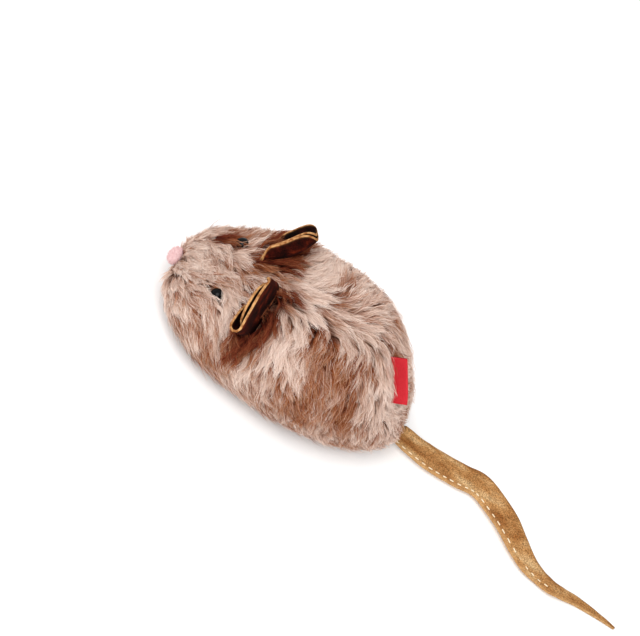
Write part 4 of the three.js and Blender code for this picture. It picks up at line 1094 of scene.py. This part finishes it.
def tail_axes(run):
    """The strip's centre, its sideways and upward directions, half width and half thickness."""
    step = 0.004
    centre, half_width, half_thick, roll = tail_line(run)
    tangent = unit(tail_line(np.minimum(run + step, 1))[0] - tail_line(np.maximum(run - step, 0))[0])
    sideways = unit(np.cross([0.0, 0.0, 1.0], tangent))
    upward = unit(np.cross(tangent, sideways))
    c, s = np.cos(-roll)[:, None], np.sin(-roll)[:, None]
    sideways, upward = (way * c + np.cross(tangent, way) * s for way in (sideways, upward))
    return centre, sideways, upward, half_width, half_thick


def folded_section(sides):
    """A folded strip's outside and inside in shares of its half thickness and half width."""
    fold = tail_fold_share
    outer, inner = [], []
    for t in np.linspace(0, 1, sides):
        groove = tail_groove_share * fading(t - tail_groove_place, tail_groove_width)
        outer.append((1 - groove, -1 + (1 + fold) * t))
    for a in np.linspace(math.pi / 2, -math.pi / 2, 9)[1:-1]:
        outer.append((math.sin(a), fold + (1 - fold) * math.cos(a)))
    outer += [(-x, y) for x, y in outer[:sides]][::-1]
    for x, y in outer:
        inner.append((x * (1 - 2 * tail_layer_share), min(y, fold) + max(y - fold, 0) * fold_inner_share))
    return np.array(outer), np.array(inner)


def tail_strip(material):
    run = np.linspace(-tail_sewn_depth / tail_reach, 1, tail_rings)
    centre, sideways, upward, half_width, half_thick = tail_axes(run)
    outer, inner = folded_section(16)
    section = np.concatenate([outer, inner[::-1]])
    ripple = tail_ripple * np.sin(run * tail_ripple_turns[0]) * np.sin(run * tail_ripple_turns[1] + 1)
    rings = (
        centre[:, None]
        + sideways[:, None] * (section[None, :, :1] * half_thick[:, None, None] + ripple[:, None, None])
        + upward[:, None] * section[None, :, 1:] * half_width[:, None, None]
    )
    rings[:, :, 2] = np.maximum(rings[:, :, 2], floor_clear)
    piece = tube_object("tail_strip", rings, material)
    raw = np.exp(-(section[:, 1] + 1) * tail_raw_fade)
    raw[: len(outer)] *= tail_raw_outside
    raw[len(outer):] = np.maximum(raw[len(outer):], tail_raw_inside)
    set_attribute(piece, "cut_edge", np.concatenate([np.tile(raw, tail_rings), [0, 0.5]]))
    return piece


def stitches(material):
    """Thread dashes down both faces of the tail, near its raw edges."""
    count = int(tail_reach * stitched_share / stitch_pitch)
    t = np.linspace(-0.5, 0.5, 7)
    swell = np.sqrt(np.maximum(1 - (2 * t) ** 4, stitch_end_share))
    angle = 2 * np.pi * np.arange(8) / 8
    wide = np.sin(angle)[None, :, None] * (stitch_radius * stitch_flat_share * swell)[:, None, None]
    tall = np.cos(angle)[None, :, None] * (stitch_radius * swell)[:, None, None]
    dashes = []
    for middle in stitched_share * np.arange(1, count) / count:
        height = curve(middle, stitch_heights)
        run = middle + t * stitch_length / tail_reach
        centre, sideways, upward, half_width, half_thick = tail_axes(run)
        seat = half_thick * stitch_seat_share + stitch_stand - stitch_dip * (1 - swell)
        for face in (1, -1):
            thread = centre + sideways * (face * seat)[:, None] + upward * (height * half_width)[:, None]
            dashes.append(capped_tube(thread[:, None] + sideways[:, None] * wide + upward[:, None] * tall))
    return outward(mesh_object("tail_stitching", *joined(dashes), material))


# Label


def label_axes():
    """The middle of the label's foot, the way it stands, along its foot and through its thickness."""
    root = body_point(label_along_share, label_around_angle)
    upright = body_normal(label_along_share, label_around_angle)
    level = unit(np.cross(upright, [0.0, 1.0, 0.0]))
    along = turned(level[None], upright[None], np.array([label_slant_angle]))[0]
    return root, upright, along, np.cross(along, upright)


def label_foot(count):
    """Places where the label meets the back, from one end to the other."""
    root, _, along, _ = label_axes()
    nudge = 0.001
    by_share = (body_point(label_along_share + nudge, label_around_angle) - root) / nudge
    by_angle = (body_point(label_along_share, label_around_angle + nudge) - root) / nudge
    span = np.linalg.lstsq(np.stack([by_share, by_angle], 1), along * label_length, rcond=None)[0]
    step = np.linspace(-0.5, 0.5, count)
    return body_point(label_along_share + step * span[0], label_around_angle + step * span[1], -seat_gap)


def label_section(rows):
    """The folded label's outline: through it, its share of the height and its rise over the fold."""
    half = label_thickness / 2
    outer = [(half, t, 0) for t in np.linspace(0, 1, rows)]
    for a in np.linspace(math.pi / 2, -math.pi / 2, 7)[1:-1]:
        outer.append((half * math.sin(a), 1, half * math.cos(a)))
    outer = np.array(outer + [(-half, t, 0) for t in np.linspace(1, 0, rows)])
    inner = outer * [1 - 2 * label_layer_share, 1, fold_inner_share]
    return np.concatenate([outer, inner[::-1]])


def woven_label(material):
    columns = 40
    root, upright, along, through = label_axes()
    section = label_section(12)
    rings = []
    for i, base in enumerate(label_foot(columns)):
        low = (base - root) @ upright
        at = (base - root) @ along
        end = abs(2 * i / (columns - 1) - 1)
        high = label_reach - label_thickness / 2 - label_corner * end ** 6
        wave = label_wave * np.sin(i / columns * label_wave_turn + 1)
        y = section[:, 0] + wave * section[:, 1] ** 2
        up = low + (high - low) * section[:, 1] + section[:, 2]
        rings.append(root + at * along + up[:, None] * upright + y[:, None] * through)
    piece = tube_object("woven_label", rings, material)
    lift = np.tile(section[:, 1] + section[:, 2] / label_reach, columns)
    run = np.repeat(np.linspace(0, 1, columns), len(section)) * label_length / label_reach
    set_uv(piece, "weave", np.concatenate([np.stack([run, lift], 1), [[0, 0.5], [1, 0.5]]]))
    return piece


# Eyes and nose


def eye_bead(name, side, material):
    """A domed bead with a rounded rim and a short stem."""
    point, normal = eye_place(side)
    rise = np.linspace(0, 1, 15)
    dome = np.stack([eye_radius * np.cos(np.pi / 2 * rise), eye_dome * np.sin(np.pi / 2 * rise)], 1)[:-1]
    under = np.linspace(-1, 0, 6)[:-1]
    rim = eye_radius * (1 - eye_rim_share + eye_rim_share * np.sqrt(1 - under ** 2))
    rim = np.stack([rim, eye_rim_depth * under], 1)
    stem = np.array([[eye_stem_radius, -eye_stem_depth], [eye_stem_radius, -eye_rim_depth]])
    profile = np.concatenate([stem, rim, dome])
    sideways = unit(np.cross(normal, [0.0, 0.0, 1.0]))
    upward = np.cross(normal, sideways)
    around = 2 * np.pi * np.arange(36) / 36
    ring = sideways * np.cos(around)[:, None] + upward * np.sin(around)[:, None]
    rings = point + normal * (profile[:, 1, None, None] - eye_sink) + ring * profile[:, 0, None, None]
    return tube_object(name, rings, material)


def nose_pad(material):
    """A soft egg with a shallow cleft down its front."""
    rows, sides = 28, 40
    polar = (np.pi * np.arange(rows + 1) / rows)[:, None]
    around = 2 * np.pi * np.arange(sides) / sides
    x = np.cos(polar) * np.ones(sides)
    lumps = np.stack([x, np.sin(polar) * np.cos(around), np.sin(polar) * np.sin(around)], -1)
    cleft = nose_cleft_share * fading(lumps[..., 1], nose_cleft_width)
    cleft = cleft * np.clip(-lumps[..., 2] + nose_cleft_top, 0, 1) * (x > 0)
    points = lumps * (1 - cleft)[..., None] * nose_half + nose_centre
    return tube_object("nose_pad", points[1:-1], material)


def nose_fuzz(material):
    """Short fibres standing on the nose."""
    directions = unit(rng.normal(size=(nose_fuzz_count, 3)))
    directions = directions[directions[:, 0] > nose_fuzz_back]
    root = nose_centre + directions * nose_half * nose_fuzz_seat
    lean = unit(directions + rng.normal(0, nose_fuzz_lean, directions.shape))
    points = root[:, None] + lean[:, None] * (nose_fuzz_length * np.linspace(0, 1, 3))[None, :, None]
    normals = np.repeat(unit(np.cross(lean, rng.normal(size=lean.shape)))[:, None], 3, 1)
    return ribbon_mesh("nose_fuzz", points, normals, rng.random(len(points)), nose_fuzz_width, material)


# Soft pieces inside


def softened(node, name, material, amount):
    """Dresses a soft solid with a finer, lumpy copy of its own form."""
    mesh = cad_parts[node].data.copy()
    piece = placed(name, mesh)
    form = bmesh.new()
    form.from_mesh(mesh)
    bmesh.ops.remove_doubles(form, verts=form.verts, dist=weld_distance)
    bmesh.ops.subdivide_edges(form, edges=form.edges, cuts=1, use_grid_fill=True)
    form.normal_update()
    for vertex in form.verts:
        vertex.co += vertex.normal * amount * (noise.noise(vertex.co * lump_fineness) - 0.5)
    form.to_mesh(mesh)
    form.free()
    mesh.materials.clear()
    mesh.materials.append(material)
    mesh.polygons.foreach_set("use_smooth", np.full(len(mesh.polygons), True))
    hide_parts(node)
    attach(piece, "root")


# Putting the mouse together


def fitted(piece, slot, body, *nodes):
    """Says which body a piece rides on and which solids it stands for; slot, the finish it takes, is not
    used.
    """
    if nodes:
        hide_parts(*nodes)
    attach(piece, body)


def flattens(piece, joint, place, normal):
    """Gives a piece a mesh of its own."""
    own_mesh(piece)


def dress_body():
    cloth = grained_material("knit_backing", (138, 90, 68), (170, 122, 98), 900, 0.95,
                             strength=0.5, specular=0.1, depth=knit_depth)
    backing = backing_cloth(cloth)
    fitted(backing, "plush", "root", "left_side_panel", "right_side_panel", "belly_panel")
    pieces = pile(surface_tree(), fur_material())
    for piece in pieces.values():
        fitted(piece, "plush", "root")
    flattens(pieces["fur_by_label"], "label_flap", *label_axes()[:2])
    for word, ear in ears.items():
        flattens(pieces[f"fur_by_{word}_ear"], f"{word}_ear_bend", *ear_root_place(ear))


def dress_ears():
    back = suede_material("ear_suede", ear_back_colours, ear_edge)
    lining = suede_material("ear_lining", ear_lining_colours, ear_edge)
    for side_word, ear in ears.items():
        for word, material, slot in (("back", back, "ear_suede"), ("lining", lining, "ear_lining")):
            piece = ear_sheet(f"{side_word}_ear_{word}_suede", ear, word, material)
            fitted(piece, slot, f"{side_word}_ear", f"{side_word}_ear_{word}")


def dress_tail():
    strip = tail_strip(suede_material("tail_suede", tail_colours, tail_edge, 0.25))
    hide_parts("tail")
    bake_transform(strip)
    thread = grained_material("stitch_thread", (220, 196, 158), (238, 220, 190), 3000, 0.7, strength=0.3)
    sewn = stitches(thread)
    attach(sewn, "tail")


def dress_label():
    piece = woven_label(woven_material())
    fitted(piece, "label_cloth", "seam_label", "seam_label")


def dress_eyes():
    gloss = grained_material("eye_bead_gloss", (4, 3, 3), (9, 8, 8), 700, 0.15, strength=0.02, specular=0.12)
    for side, word in ((1, "left"), (-1, "right")):
        fitted(eye_bead(f"{word}_eye_bead", side, gloss), "eye_bead", "root", f"{word}_eye")


def dress_nose():
    felt = grained_material("nose_felt", (206, 164, 164), (226, 194, 193), 1500, 0.95, strength=0.6)
    fibre = grained_material("nose_fibre", (214, 172, 172), (236, 206, 205), 900, 0.95)
    pad = nose_pad(felt)
    fitted(pad, "nose_felt", "root", "nose")
    fitted(nose_fuzz(fibre), "nose_felt", "root")


def dress_inside():
    fibre = grained_material("fibre_filling", (224, 224, 218), (244, 244, 240), 500, 1.0, strength=0.8)
    cloth = grained_material("pouch_cloth", (200, 200, 192), (226, 226, 220), 1500, 0.95, strength=0.6)
    softened("upper_stuffing", "upper_filling", fibre, filling_lumps)
    softened("lower_stuffing", "lower_filling", fibre, filling_lumps)
    softened("module_pouch", "sewn_pouch", cloth, pouch_lumps)


def dress_hard_parts():
    for name, low, high, scale, roughness, metallic, nodes in hard_parts:
        material = grained_material(name, low, high, scale, roughness, metallic)
        for node in nodes:
            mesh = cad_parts[node].data
            mesh.materials.clear()
            mesh.materials.append(material)


# Stage


def white_to_camera(tree, lit, seen, share=None):
    """Lights the object with one shader and shows another, or a share of it, to the camera and to gloss."""
    path = new_node(tree, "ShaderNodeLightPath", {})
    total = path.outputs["Is Camera Ray"]
    for name in ("Is Glossy Ray", "Is Transmission Ray"):
        total = worked_out(tree, "MAXIMUM", total, path.outputs[name])
    if share:
        total = worked_out(tree, "MULTIPLY", total, share)
    return new_node(tree, "ShaderNodeMixShader", {"Fac": total, 1: lit, 2: seen}).outputs["Shader"]


def surroundings():
    world = bpy.data.worlds.new("studio")
    world.use_nodes = True
    bpy.context.scene.world = world
    tree = world.node_tree
    lit = tree.nodes["Background"]
    fill(tree, lit, {"Color": (1, 1, 1, 1), "Strength": world_strength})
    seen = new_node(tree, "ShaderNodeBackground", {"Color": (1, 1, 1, 1), "Strength": 1.0})
    shader = white_to_camera(tree, lit.outputs["Background"], seen.outputs["Background"])
    fill(tree, tree.nodes["World Output"], {"Surface": shader})


def floor():
    """A pale floor that keeps the object's shadow and turns plain white further off."""
    material, tree, shader = new_material("pale_floor", 0.9, specular=0.1)
    grain = ramp(tree, noise_of(tree, floor_grain), [(0.3, (250, 250, 250)), (0.7, (253, 253, 253))])
    fill(tree, shader, {"Base Color": grain})
    place = new_node(tree, "ShaderNodeTexCoord", {}).outputs["Object"]
    distance = new_node(tree, "ShaderNodeVectorMath", {0: place}, operation="LENGTH").outputs["Value"]
    far_off = share_between(tree, distance, floor_white_start, floor_white_full)
    white = new_node(tree, "ShaderNodeEmission", {}).outputs["Emission"]
    mix = white_to_camera(tree, shader.outputs["BSDF"], white, far_off)
    fill(tree, tree.nodes["Material Output"], {"Surface": mix})
    corners = [(x * floor_half, y * floor_half, 0) for x, y in ((-1, -1), (1, -1), (1, 1), (-1, 1))]
    mesh_object("floor", corners, [np.array([[0, 1, 2, 3]])], material, smooth=False)


def area_light(name, place, size, power):
    data = bpy.data.lights.new(name, "AREA")
    data.shape = "SQUARE"
    data.size = size
    data.energy = power
    light = placed(name, data)
    light.location = place
    light.rotation_mode = "QUATERNION"
    light.rotation_quaternion = (light_aim - Vector(place)).to_track_quat("-Z", "Y")


def photo_camera():
    data = bpy.data.cameras.new("camera")
    data.sensor_width = camera_sensor
    data.lens = camera_lens
    data.clip_start = camera_nearest
    data.clip_end = camera_furthest
    camera = placed("camera", data)
    ahead = (-camera_back + aim_right * camera_right + aim_up * camera_up).normalized()
    right = (camera_right - ahead * camera_right.dot(ahead)).normalized()
    turn = Matrix((right, right.cross(ahead), -ahead)).transposed()
    camera.matrix_world = Matrix.Translation(camera_back * camera_distance) @ turn.to_4x4()
    bpy.context.scene.camera = camera


def studio():
    surroundings()
    floor()
    for name, (place, size, power) in lights.items():
        area_light(name, place, size, power)
    photo_camera()
    bpy.context.scene.view_settings.view_transform = "Standard"


dress_body()
dress_ears()
dress_tail()
dress_label()
dress_eyes()
dress_nose()
dress_inside()
dress_hard_parts()
studio()
